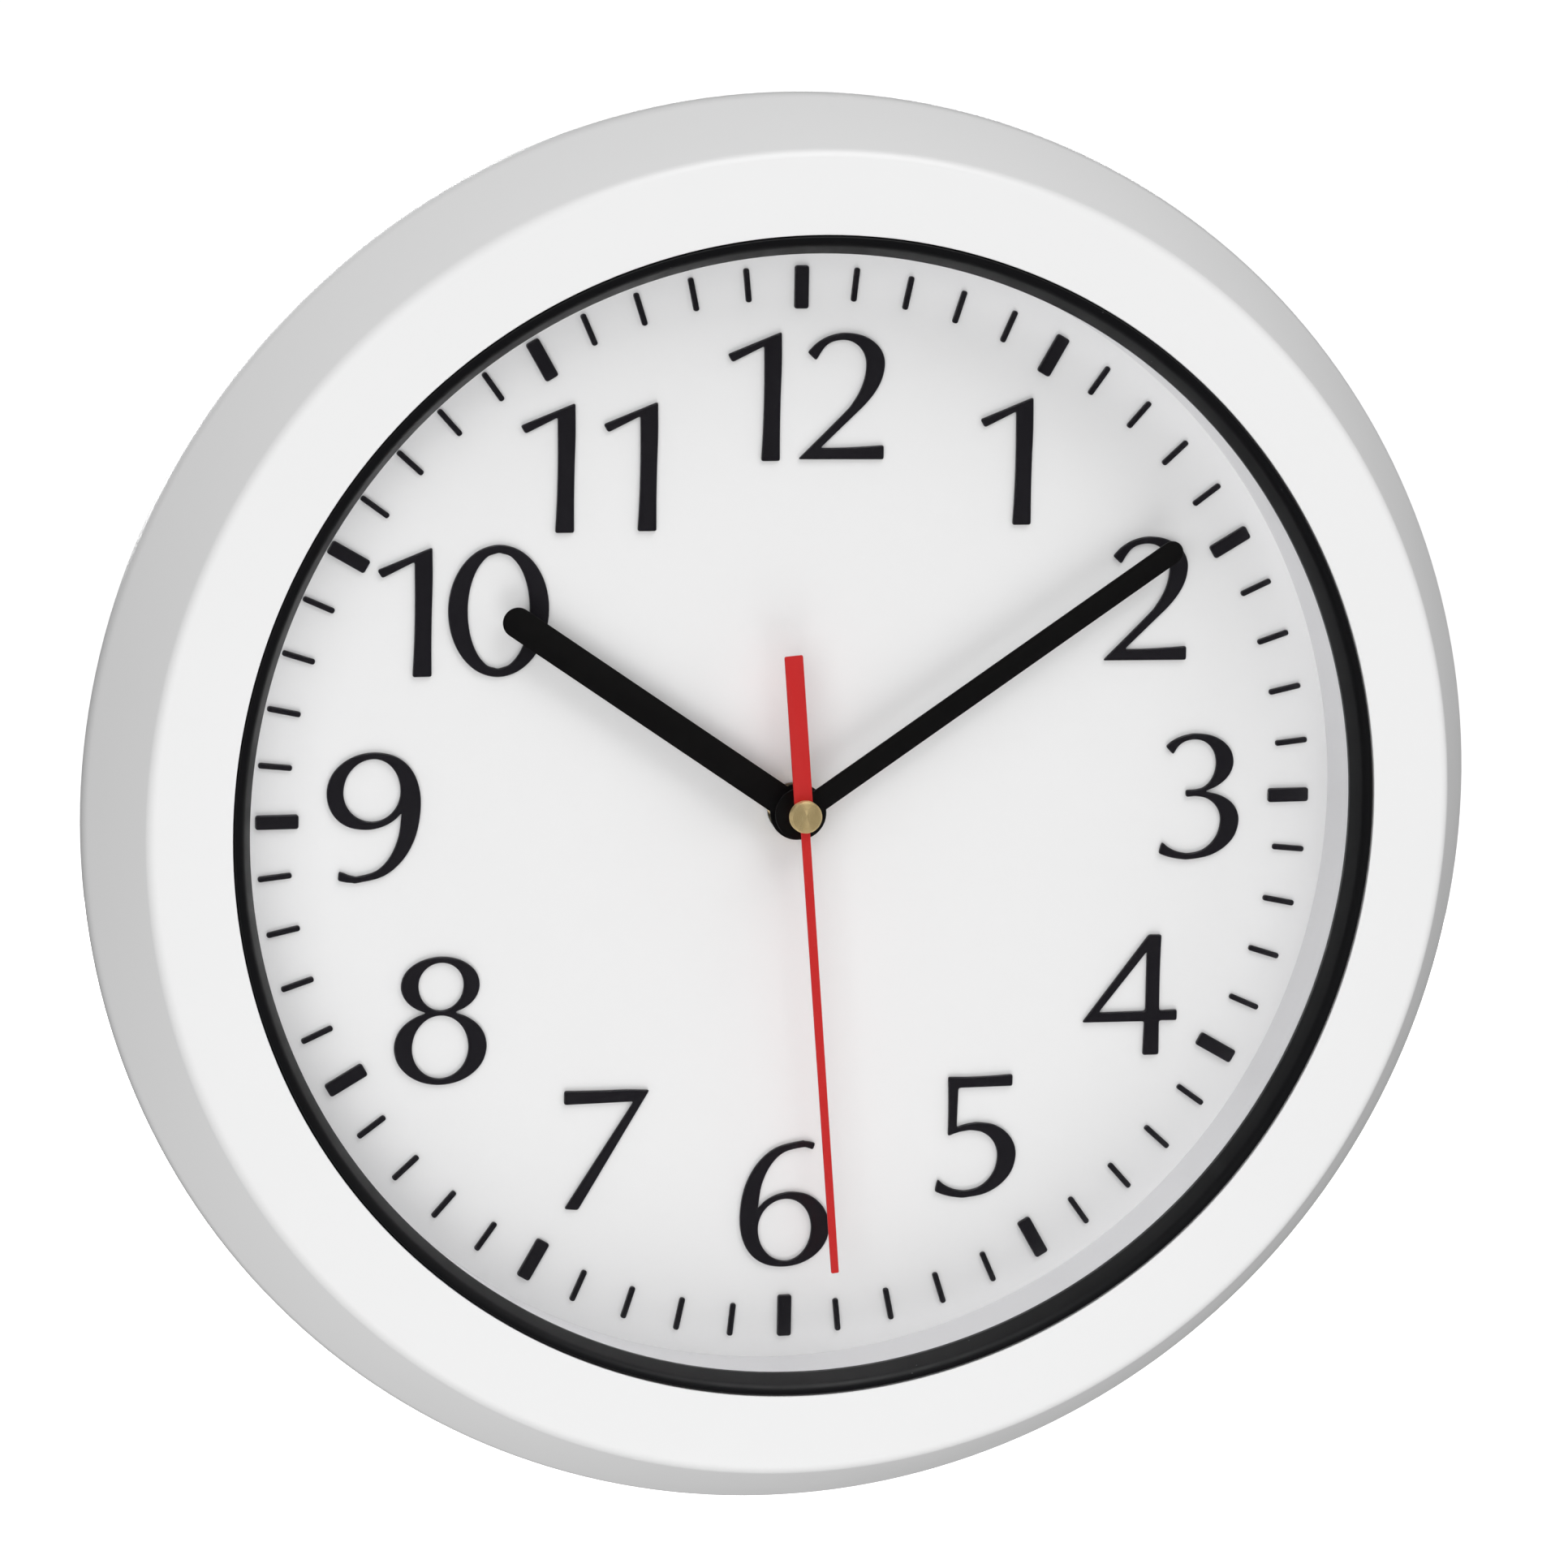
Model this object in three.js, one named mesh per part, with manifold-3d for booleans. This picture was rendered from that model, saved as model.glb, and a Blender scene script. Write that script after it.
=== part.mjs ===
// A round quartz wall clock, 300 mm across, as an assembly of separate pieces. Millimetres.
//
// Every piece is drawn in the clock's own drawing frame: x to the right, y up, z towards the
// reader, with the hands' axis at x = y = 0 and the wall at z = 0. The last lines turn that frame
// so that +Z is up and the face looks towards -Y, and put the origin at the hanging point.
import * as THREE from "three";
import { mergeVertices } from "three/addons/utils/BufferGeometryUtils.js";
import Module from "manifold-3d";

const wasm = await Module();
wasm.setup();

// ---------------------------------------------------------------- driving dimensions

// Clearances.
const seatGap = 0.3; // between two pieces that rest on each other
const pressGap = 0.06; // round a bore that is pushed onto a pipe
const runGap = 0.15; // round a shaft that turns in a bore
const holeGap = 0.3; // round a shank or a bush in a plain hole
const overcut = 1; // how far a cutting tool reaches past the face that it opens

// Case: a ring-shaped shell with a convex side, open in front and behind.
const caseRadius = 150; // at its widest
const caseWall = 2.5;
const widestRound = 8; // radius of the roll at the widest circle
const sideSlope = THREE.MathUtils.degToRad(29); // side in front of the roll, from the axis
const rearSlope = THREE.MathUtils.degToRad(28); // side behind the roll, from the axis
const widestBehindDial = 2.8; // widest circle, behind the dial's face
const faceRound = 3; // roll between the side and the front face
const faceSlope = THREE.MathUtils.degToRad(5.5); // the front face rises towards the ring
const bossRadius = 4; // screw bosses inside the shell
const bossCircle = 130;
const bossCount = 4;
const bossHoleDepth = 12;

// Trim ring round the lens.
const ringOuterRadius = 121.9;
const ringInnerRadius = 118.1;
const ringHeight = 20.7; // its outer edge, in front of the dial
const ringSlant = 4; // how far the inner edge lies behind the outer one
const ringCrest = 1; // width of its flat front edge
const ringFlange = 3; // the flange that the case's lip holds
const ringFlangeThickness = 2;

// Lens, inner wall and dial.
const lensThickness = 1.6;
const wallRadius = 118.9; // inner face of the wall between dial and lens
const wallThickness = 1.5;
const dialFront = 22; // the dial's face, in front of the wall that the clock hangs on
const dialThickness = 2;
const clampedRadius = 124.4; // outer radius of the dial and the lens

// Raised markers on the dial.
const hourMarker = { radius: 109.8, length: 9, width: 3, height: 1 };
const minuteMarker = { radius: 110.8, length: 7.1, width: 1.2, height: 0.8 };
const markersPerTurn = 60;
const minutesPerHourMarker = 5;
const numeralHeight = 1; // thickness of a numeral

// Hands. Angles are clockwise from twelve, in degrees, as a clock shows 10:09:29.
const hourHand = { angle: 304.3, width: 6.4, length: 76.2, hub: 6 };
const minuteHand = { angle: 56.1, width: 4.8, length: 98.9, hub: 5.5 };
const secondHand = { angle: 175.1, length: 98.9, tail: 34, hub: 2 };
const secondTailWidth = 3.95;
const secondRootWidth = 1.95;
const secondTipWidth = 1.65;
const handThickness = 0.6;
const pipeProud = 0.6; // how far a pipe stands out of its hand
const capRadius = 3.4;
const capThickness = 1.9; // with the gap that parts it from the second hand
const capBevel = 0.35;
// How the free depth between the bush and the lens is shared out round the hands.
const depthParts = { underHour: 7, underMinute: 19, underSecond: 24, overCap: 14 };

// Pipes and bush, from the inside out.
const secondArborRadius = 0.5;
const minutePipeRadius = 1.4;
const hourPipeRadius = 2.2;
const bushRadius = 4;
const bushFlangeWidth = 1.5; // round the bush
const bushFlangeThickness = 0.6;
const bushProud = 3.7; // end of the bush, in front of the dial
const nutWall = 1; // between the bush and a flat of the nut
const nutThickness = 2;
const washerWidth = 1.6; // round the bush
const washerThickness = 0.5;
const rubberWidth = 5; // round the bush
const rubberThickness = 0.6;

// Quartz movement.
const movementWidth = 56;
const movementCorner = 4;
const movementWall = 1.2;
const layerPitch = 2; // distance between two neighbouring wheels
const layerCount = 6;
const wheelThickness = 0.8;
const pinionOverhang = 0.2;
const arborRadius = 0.4;
const pivotRadius = 0.35;
const pivotLength = 0.9;
const pivotBoreDepth = 0.8;
const bayHeight = 15.2;
const bayDivider = 1;
const bayFrontWall = 0.7; // thinner than the rest, to take the cell

// AA cell.
const cellRadius = 7.15;
const cellLength = 49.2;
const cellNubRadius = 2.75;
const cellNubLength = 1.3;
const cellEdge = 0.6;
const contactThickness = 0.4;
const contactWidth = 9;
const contactInset = 1; // from the top and bottom of the cell

// Stepping motor.
const magnetRadius = 3.4;
const magnetHeight = 2.6;
const statorHole = 4;
const statorRing = 5.2;
const statorThickness = 0.6;
const coilRadius = 2.9;
const coilLength = 21;
const coilFlangeRadius = 3.4;
const coilFlangeThickness = 1;
const coreThickness = 1;
const coreWidth = 4;
const stampedCorner = 1; // corner radius of stamped plates

// Circuit board.
const boardWidth = 12;
const boardHeight = 20;
const boardThickness = 1;
const boardCentre = { x: 19.5, y: 15.5 };
const crystalRadius = 1;
const crystalLength = 6;

// Setting knob.
const knobRadius = 6;
const knobThickness = 1.5;
const knobShaftRadius = 1.2;
const knobRibs = 18;
const knobRibHeight = 0.35;

// Rear cover, its screws and the hanger.
const coverThickness = 2;
const coverInset = 3.4; // rear face of the cover, in front of the wall
const supportInnerRadius = 121.1; // ring that holds the dial up from the rear cover
const supportThickness = 2;
const movementWindow = 1.5; // gap between the movement and the cover's window
const screwHeadRadius = 3;
const screwHeadThickness = 1.6;
const screwHeadEdge = 0.6;
const screwShankRadius = 1.3;
const screwLength = 10;
const hangerHeight = 75; // hanging point above the hands' axis
const hangerWidth = 44;
const hangerPlateHeight = 26;
const hangerThickness = 1;
const hangerCorner = 3;
const keyholeHeadRadius = 5;
const keyholeSlotRadius = 2.5;
const keyholeDrop = 10; // from the slot's end down to the wide hole
const hangerScrewSpacing = 34;
const headPocketMargin = 3; // room round the keyhole for the wall screw's head

// Roundness.
const bigSides = 48;
const middleSides = 24;
const smallSides = 12;
const arcSteps = 4;
const boreSteps = 8;

// Gear train: teeth and centre distances. Each wheel is named for its arbor.
const train = {
  rotorPinion: 6,
  intermediateWheel: 36,
  intermediatePinion: 6,
  secondWheel: 30,
  secondPinion: 6,
  thirdWheel: 45,
  thirdPinion: 6,
  centreWheel: 48,
  cannonPinion: 8,
  motionWheel: 24,
  motionPinion: 8,
  hourWheel: 32,
  knobPinion: 8,
};
const thirdDistance = 9.2;
const intermediateDistance = 9.6;
const rotorDistance = 8.4;
const motionDistance = 8;
const thirdDirection = THREE.MathUtils.degToRad(60);
const intermediateDirection = THREE.MathUtils.degToRad(150);
const rotorDirection = THREE.MathUtils.degToRad(110);
const motionDirection = THREE.MathUtils.degToRad(-20);
const knobDirection = THREE.MathUtils.degToRad(20);
const toothAddendum = 0.75; // in modules
const toothDedendum = 1.05;
const toothRootShare = 0.56; // of the pitch, at the root
const toothTipShare = 0.2; // of the pitch, at the tip

// ---------------------------------------------------------------- derived places along z

const dialBack = dialFront - dialThickness;
const ringFront = dialFront + ringHeight;
const ringBack = ringFront - ringSlant - ringFlangeThickness / 2;
const lensFront = ringBack - seatGap;
const lensBack = lensFront - lensThickness;
const bushFront = dialFront + bushProud;
const freeDepth = lensBack - bushFront - 3 * handThickness - capThickness;
const partsInAll = Object.values(depthParts).reduce((sum, share) => sum + share, 0);
const depthPart = freeDepth / partsInAll;
const hourHandFront = bushFront + depthParts.underHour * depthPart + handThickness;
const minuteHandFront = hourHandFront + depthParts.underMinute * depthPart + handThickness;
const secondHandFront = minuteHandFront + depthParts.underSecond * depthPart + handThickness;
const capFront = secondHandFront + capThickness;
const movementFront = dialBack - rubberThickness - 2 * seatGap;
const bushFlangeFront = movementFront - movementWall - seatGap;
const layersTop = bushFlangeFront - bushFlangeThickness;
const layersBottom = layersTop - layerCount * layerPitch;
const movementBack = layersBottom - seatGap - movementWall;
const coverFront = coverInset + coverThickness;
const hangerFront = coverInset - seatGap;
const hangerBack = hangerFront - hangerThickness;
const cavityHalf = movementWidth / 2 - movementWall;
const bayBottom = -cavityHalf;
const bayTop = bayBottom + bayHeight;
const cavityBottom = bayTop + bayDivider;
const layerCentre = (layer) => layersBottom + (layer + 0.5) * layerPitch;

// ---------------------------------------------------------------- finishes

function finish(color, roughness, metalness = 0) {
  return new THREE.MeshStandardMaterial({ color, roughness, metalness });
}

const whiteGloss = finish(0xeeeeee, 0.25);
const blackTrim = finish(0x202022, 0.5);
const dialWhite = finish(0xeaeaea, 0.6);
const wallGrey = finish(0xd6d6d8, 0.5);
const numeralBlack = finish(0x1e1c21, 0.35);
const handBlack = finish(0x0e0e0d, 0.55);
const handRed = finish(0xc22b2a, 0.5);
const brass = finish(0xb5a06a, 0.25, 1);
const steel = finish(0xb9bcc0, 0.35, 1);
const rubberBlack = finish(0x1a1a1a, 0.9);
const movementBlack = finish(0x2a2b2d, 0.6);
const gearNatural = finish(0xe9e4d4, 0.5);
const magnetGrey = finish(0x4a4b4e, 0.5);
const copper = finish(0xb5652f, 0.35, 1);
const boardGreen = finish(0x2f6b45, 0.5);
const cellBlue = finish(0x35506e, 0.3);
const knobWhite = finish(0xf0f0ee, 0.4);
const lensClear = new THREE.MeshStandardMaterial({
  color: 0xf4f8f8,
  roughness: 0.05,
  transparent: true,
  opacity: 0.15,
});

// ---------------------------------------------------------------- shaping tools

const clock = new THREE.Group();

function addPart(name, geometry, material) {
  const mesh = new THREE.Mesh(geometry, material);
  mesh.name = name;
  clock.add(mesh);
  return mesh;
}

function toSolid(geometry) {
  const bare = geometry.clone();
  bare.deleteAttribute("normal");
  bare.deleteAttribute("uv");
  const merged = mergeVertices(bare);
  const triVerts = new Uint32Array(merged.index.array);
  const vertProperties = new Float32Array(merged.attributes.position.array);
  return new wasm.Manifold(new wasm.Mesh({ numProp: 3, vertProperties, triVerts }));
}

function toGeometry(solid) {
  const mesh = solid.getMesh();
  const geometry = new THREE.BufferGeometry();
  geometry.setAttribute("position", new THREE.BufferAttribute(mesh.vertProperties, 3));
  geometry.setIndex(new THREE.BufferAttribute(mesh.triVerts, 1));
  return geometry;
}

function join(...geometries) {
  return toGeometry(geometries.map(toSolid).reduce((whole, piece) => whole.add(piece)));
}

function cut(geometry, ...tools) {
  return toGeometry([geometry, ...tools].map(toSolid).reduce((whole, tool) => whole.subtract(tool)));
}

// Turns a closed outline of [radius, z] points round the z axis. An outline that touches the axis
// has two points on it, one after the other.
function turned(outline, sides = middleSides) {
  let area = 0;
  outline.forEach(([r, z], i) => {
    const [nextR, nextZ] = outline[(i + 1) % outline.length];
    area += r * nextZ - nextR * z;
  });
  const loop = area > 0 ? outline : [...outline].reverse();
  const leavesAxis = loop.findIndex(([r], i) => r === 0 && loop[(i + 1) % loop.length][0] > 0);
  const start = Math.max(leavesAxis, 0);
  const ordered = [...loop.slice(start), ...loop.slice(0, start)];
  const points = ordered.map(([r, z]) => new THREE.Vector2(r, z));
  if (leavesAxis < 0) points.push(points[0].clone());
  return new THREE.LatheGeometry(points, sides).rotateX(Math.PI / 2);
}

function tube(innerRadius, outerRadius, zLow, zHigh, sides = middleSides) {
  const outline = [[innerRadius, zLow], [outerRadius, zLow], [outerRadius, zHigh], [innerRadius, zHigh]];
  return turned(outline, sides);
}

function disc(radius, zLow, zHigh, sides = middleSides) {
  return turned([[0, zLow], [radius, zLow], [radius, zHigh], [0, zHigh]], sides);
}

function block(width, height, depth, x, y, z) {
  return new THREE.BoxGeometry(width, height, depth).translate(x, y, z);
}

// A flat shape pushed from zLow to zHigh.
function slab(shape, zLow, zHigh, curveSegments = arcSteps) {
  const options = { depth: zHigh - zLow, bevelEnabled: false, curveSegments };
  return new THREE.ExtrudeGeometry(shape, options).translate(0, 0, zLow);
}

function roundHole(x, y, radius) {
  return new THREE.Path().absarc(x, y, radius, 0, 2 * Math.PI, true);
}

function roundedRectangle(width, height, corner, x = 0, y = 0) {
  const right = x + width / 2 - corner;
  const left = x - width / 2 + corner;
  const top = y + height / 2 - corner;
  const bottom = y - height / 2 + corner;
  const quarter = Math.PI / 2;
  const shape = new THREE.Shape();
  shape.absarc(right, bottom, corner, -quarter, 0);
  shape.absarc(right, top, corner, 0, quarter);
  shape.absarc(left, top, corner, quarter, 2 * quarter);
  shape.absarc(left, bottom, corner, 2 * quarter, 3 * quarter);
  shape.closePath();
  return shape;
}

// Direction of a clock angle, clockwise from twelve.
function clockDirection(degrees) {
  const angle = THREE.MathUtils.degToRad(degrees);
  return new THREE.Vector2(Math.sin(angle), Math.cos(angle));
}

function arcPoints(centre, radius, from, to, steps = arcSteps) {
  return Array.from({ length: steps + 1 }, (_, i) => {
    const angle = from + ((to - from) * i) / steps;
    return [centre[0] + radius * Math.cos(angle), centre[1] + radius * Math.sin(angle)];
  });
}

// ---------------------------------------------------------------- case, ring, lens and dial

// Outline of the case's outer face, moved inwards by inset: from the rear edge to the lip.
function caseFace(inset, lipRadius, steps = arcSteps) {
  const rollCentre = [caseRadius - widestRound, dialFront - widestBehindDial];
  const rollRadius = widestRound - inset;
  const roll = arcPoints(rollCentre, rollRadius, -rearSlope, sideSlope, steps);
  const rearEdge = [roll[0][0] - roll[0][1] * Math.tan(rearSlope), 0];
  const side = [Math.cos(sideSlope), Math.sin(sideSlope)];
  const front = [Math.sin(faceSlope), Math.cos(faceSlope)];
  const sideReach = rollCentre[0] * side[0] + rollCentre[1] * side[1] + widestRound - faceRound;
  const frontReach = ringOuterRadius * front[0] + ringFront * front[1] - faceRound;
  const determinant = side[0] * front[1] - side[1] * front[0];
  const edgeCentre = [
    (sideReach * front[1] - side[1] * frontReach) / determinant,
    (side[0] * frontReach - sideReach * front[0]) / determinant,
  ];
  const edge = arcPoints(edgeCentre, faceRound - inset, sideSlope, Math.PI / 2 - faceSlope, steps);
  const lip = [lipRadius, ringFront + (ringOuterRadius - lipRadius) * Math.tan(faceSlope) - inset];
  return [rearEdge, ...roll, ...edge, lip];
}

const lipRadius = ringOuterRadius + seatGap;
const lipBack = caseFace(caseWall, lipRadius).at(-1)[1];
const coverRadius = caseFace(caseWall, lipRadius)[0][0] - seatGap;

function bossPlaces() {
  return Array.from({ length: bossCount }, (_, i) => {
    return clockDirection((360 * (i + 0.5)) / bossCount).multiplyScalar(bossCircle);
  });
}

function caseShell() {
  const innerSteps = arcSteps / 2;
  const outline = [...caseFace(0, lipRadius), ...caseFace(caseWall, lipRadius, innerSteps).reverse()];
  const shell = turned(outline, bigSides);
  const bossFront = lipBack + caseWall / 2 - (bossCircle + bossRadius - lipRadius) * Math.tan(faceSlope);
  const bossBack = coverFront + seatGap;
  const bosses = bossPlaces().map(({ x, y }) => {
    return disc(bossRadius, bossBack, bossFront, smallSides).translate(x, y, 0);
  });
  const holes = bossPlaces().map(({ x, y }) => {
    const hole = disc(screwShankRadius + holeGap, bossBack - overcut, bossBack + bossHoleDepth, smallSides);
    return hole.translate(x, y, 0);
  });
  return cut(join(shell, ...bosses), ...holes);
}

function trimRing() {
  const flangeRadius = ringOuterRadius + ringFlange;
  const flangeFront = lipBack - seatGap;
  return turned(
    [
      [ringInnerRadius, ringBack],
      [flangeRadius, ringBack],
      [flangeRadius, flangeFront],
      [ringOuterRadius, flangeFront],
      [ringOuterRadius, ringFront],
      [ringOuterRadius - ringCrest, ringFront],
      [ringInnerRadius, ringFront - ringSlant],
    ],
    bigSides,
  );
}

function lens() {
  return disc(clampedRadius, lensBack, lensFront, bigSides);
}

function innerWall() {
  const outer = wallRadius + wallThickness;
  return tube(wallRadius, outer, dialFront + seatGap, lensBack - seatGap, bigSides);
}

// The dial carries its sixty markers moulded in one with it.
function dialPlate() {
  const plate = tube(bushRadius + holeGap, clampedRadius, dialBack, dialFront, bigSides);
  const rootDepth = dialThickness / 4;
  const markers = Array.from({ length: markersPerTurn }, (_, minute) => {
    const atHour = minute % minutesPerHourMarker === 0;
    const marker = atHour ? hourMarker : minuteMarker;
    const depth = rootDepth + marker.height;
    const middle = dialFront - rootDepth + depth / 2;
    const bar = block(marker.width, marker.length, depth, 0, marker.radius, middle);
    return bar.rotateZ(-(2 * Math.PI * minute) / markersPerTurn);
  });
  return join(plate, ...markers);
}

// ---------------------------------------------------------------- numerals

// Outlines from each numeral's lower left corner. M starts a loop and L draws a line. U is a
// quarter of an ellipse that leaves upright and arrives level, and A one that leaves level and
// arrives upright. C is a curve with its two pull points.
const numeralLoops = {
  0: [
    "M 0 14.2 U 10.6 27.8 A 21.3 14.2 U 10.6 0.2 A 0 14.2",
    "M 4.1 14.2 U 10.6 1.9 A 17.2 14.2 U 10.6 26.2 A 4.1 14.2",
  ],
  1: [
    "M 0 22.5 L 11.2 27.2 L 11.8 26.9 C 11.5 18 11.3 9 11.5 0.1" +
      " L 7.5 0.1 C 8 8 8 16 7.8 24.1 L 1 20.8 Z",
  ],
  2: [
    "M 2 22.9 C 4.4 25.8 7.2 26.9 10.4 26.9 A 18.7 20.4 C 18.7 16 15.6 12.6 12 9.4 L 5.1 2.9" +
      " C 9.7 2.8 14.2 3 18.8 3.3 L 18.8 0.3 L 0.3 0.2 L 0.3 0.9 L 10 10 C 12.9 12.9 14.7 16.4 14.7 20.1" +
      " U 9.7 25.4 C 6.4 25.4 5 23.8 4.2 21.2 L 3.5 21.1 Z",
  ],
  3: [
    "M 1.2 24.9 C 3 26.6 5.4 27.5 8.2 27.5 A 16.5 21.3 C 16.5 18.3 14 16 10.3 14.9" +
      " C 15 14.2 18 12 18 8.3 U 7.1 0.2 C 4.6 0.2 2.2 0.8 0.2 1.7 L 0.9 4.2" +
      " C 2.6 2.5 4.7 1.6 7.2 1.6 A 13.9 8.5 U 8.2 13.9 L 6 13.8 L 5.9 15.3 L 8.2 15.4 A 12.6 20.9 U 7.8 26.2 C 5.2 26.2 3.7 25.1 3.1 23.1 L 2.7 23 Z",
  ],
  4: [
    "M 14.7 26.6 L 17.5 26.5 C 17.3 21 17.3 15.5 17.4 9.9 L 21.4 10 L 21.4 7.6 L 17.4 7.7 L 17.5 0.2" +
      " L 13.9 0.2 L 14.1 7.6 L 0.2 7.6 L 0.1 8 Z",
    "M 14.3 22.9 L 3.8 9.9 L 14.3 9.9 Z",
  ],
  5: [
    "M 2.6 26.9 C 7.4 26.6 12.1 26.7 16.9 27 L 16.9 24.4 L 4.9 24.4 L 4.7 15.8" +
      " C 6.1 16.4 7.8 16.7 9.6 16.7 A 18 9.3 U 6.9 0.3 C 4.5 0.3 2.2 0.9 0.1 1.9" +
      " L 0.7 4.6 C 2.4 2.8 4.6 1.9 7.1 1.9 A 13.9 9.1" +
      " U 8 15 C 6.2 15 4.6 14.7 2.8 13.9 C 2.9 18.3 2.8 22.6 2.6 26.9",
  ],
  6: [
    "M 16.3 26.8 C 15.4 27.2 14.3 27.4 13.1 27.4 C 5 27.4 0 20 0 11.3 C 0 3.6 4 0.1 9.8 0.1 A 19.7 8.3" +
      " U 11.4 16.4 C 8.5 16.4 5.7 15.4 3.9 13 C 4.2 20.6 7.7 26 13.1 26 C 14.1 26 15 25.8 15.8 25.4 Z",
    "M 10 14.9 A 4 8.6 U 10.2 1.4 A 15.7 8.3 U 10 14.9",
  ],
  7: [
    "M 0 26.5 C 6 26.3 12 26.3 18.3 26.4 L 18.5 25.8 L 3.2 0.7 L 0.2 0.7 L 0.3 1.4" +
      " L 15 23.7 L 0 23.5 Z",
  ],
  8: [
    "M 9.9 27.4 A 1.4 21.4 C 1.4 18.4 3.7 16.4 6.8 15.5 C 2.9 14.4 0 12 0 8 U 9.8 0.1" +
      " A 19.7 8 C 19.7 12 16.6 14.5 12.8 15.5 C 15.8 16.4 18.1 18.4 18.1 21.4 U 9.9 27.4",
    "M 9.9 26.1 A 14.7 21.3 U 9.9 16 A 5.1 21.3 U 9.9 26.1",
    "M 9.8 14.9 A 15.8 8 U 9.8 1.5 A 3.8 8 U 9.8 14.9",
  ],
  9: [
    "M 9.9 27.7 A 0 19.4 C 0 14.6 3.4 11.5 8.1 11.5 C 11.4 11.5 14 12.7 15.8 14.9" +
      " C 15.6 7.6 12.4 1.8 6.7 1.8 C 5.2 1.8 4 2.3 2.8 3.1 L 2.4 2.8 L 2.4 1" +
      " C 3.6 0.6 5 0.4 6.6 0.4 C 14.6 0.4 19.8 7.6 19.8 16.5 C 19.8 23.6 16 27.7 9.9 27.7",
    "M 9.8 26.3 A 15.5 19.4 U 9.7 13.2 A 3.5 19.4 U 9.8 26.3",
  ],
};

const quarterPull = 0.5523; // pull of a curve that makes a quarter of an ellipse

// Draws one loop's steps into a path.
function drawLoop(path, steps) {
  const words = steps.split(" ");
  let x = 0;
  let y = 0;
  const read = () => Number(words.shift());
  while (words.length > 0) {
    const step = words.shift();
    if (step === "Z") {
      path.closePath();
      continue;
    }
    const pull = step === "C" ? [read(), read(), read(), read()] : [];
    const [endX, endY] = [read(), read()];
    const [acrossX, acrossY] = [(endX - x) * quarterPull, (endY - y) * quarterPull];
    if (step === "M") path.moveTo(endX, endY);
    if (step === "L") path.lineTo(endX, endY);
    if (step === "C") path.bezierCurveTo(...pull, endX, endY);
    if (step === "U") path.bezierCurveTo(x, y + acrossY, endX - acrossX, endY, endX, endY);
    if (step === "A") path.bezierCurveTo(x + acrossX, y, endX, endY - acrossY, endX, endY);
    [x, y] = [endX, endY];
  }
  return path;
}

// Where each numeral's middle lies on the dial, from the hands' axis, and its name.
const numeralSpots = [
  { name: "numeral_12_tens", digit: 1, x: -9.4, y: 87.1 },
  { name: "numeral_12_units", digit: 2, x: 9, y: 86.7 },
  { name: "numeral_1", digit: 1, x: 45.4, y: 72.9 },
  { name: "numeral_2", digit: 2, x: 76.6, y: 42.9 },
  { name: "numeral_3", digit: 3, x: 89.8, y: 0.1 },
  { name: "numeral_4", digit: 4, x: 75.4, y: -42.8 },
  { name: "numeral_5", digit: 5, x: 41.7, y: -72.4 },
  { name: "numeral_6", digit: 6, x: -0.1, y: -85.3 },
  { name: "numeral_7", digit: 7, x: -39.2, y: -72.1 },
  { name: "numeral_8", digit: 8, x: -75.1, y: -43.1 },
  { name: "numeral_9", digit: 9, x: -89.5, y: 0.2 },
  { name: "numeral_10_tens", digit: 1, x: -82.9, y: 43.2 },
  { name: "numeral_10_units", digit: 0, x: -63.5, y: 43.1 },
  { name: "numeral_11_tens", digit: 1, x: -53.1, y: 72.7 },
  { name: "numeral_11_units", digit: 1, x: -35.6, y: 72.8 },
];

// Half the width and half the height of each digit.
const digitHalfBox = {
  0: [10.7, 14],
  1: [6.2, 13.65],
  2: [9.5, 13.4],
  3: [9.05, 13.75],
  4: [10.75, 13.35],
  5: [9.05, 13.6],
  6: [10.05, 13.9],
  7: [9.4, 13.4],
  8: [9.9, 13.65],
  9: [9.95, 13.8],
};

function numeral({ digit, x, y }) {
  const [outer, ...holes] = numeralLoops[digit];
  const shape = drawLoop(new THREE.Shape(), outer);
  shape.holes = holes.map((loop) => drawLoop(new THREE.Path(), loop));
  const back = dialFront + seatGap / 3;
  const [halfWidth, halfHeight] = digitHalfBox[digit];
  return slab(shape, back, dialFront + numeralHeight).translate(x - halfWidth, y - halfHeight, 0);
}

// ---------------------------------------------------------------- hands

const turnTo = (degrees) => -THREE.MathUtils.degToRad(degrees);

// A bar with a round tip and a round hub, bored for its pipe.
function roundTippedHand({ width, length, hub, angle }, front, bore) {
  const half = width / 2;
  const shape = new THREE.Shape();
  const meeting = Math.asin(half / hub);
  shape.absarc(0, length - half, half, 0, Math.PI);
  shape.absarc(0, 0, hub, Math.PI / 2 + meeting, 2.5 * Math.PI - meeting);
  shape.closePath();
  shape.holes = [roundHole(0, 0, bore)];
  return slab(shape, front - handThickness, front, 2 * arcSteps).rotateZ(turnTo(angle));
}

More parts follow.
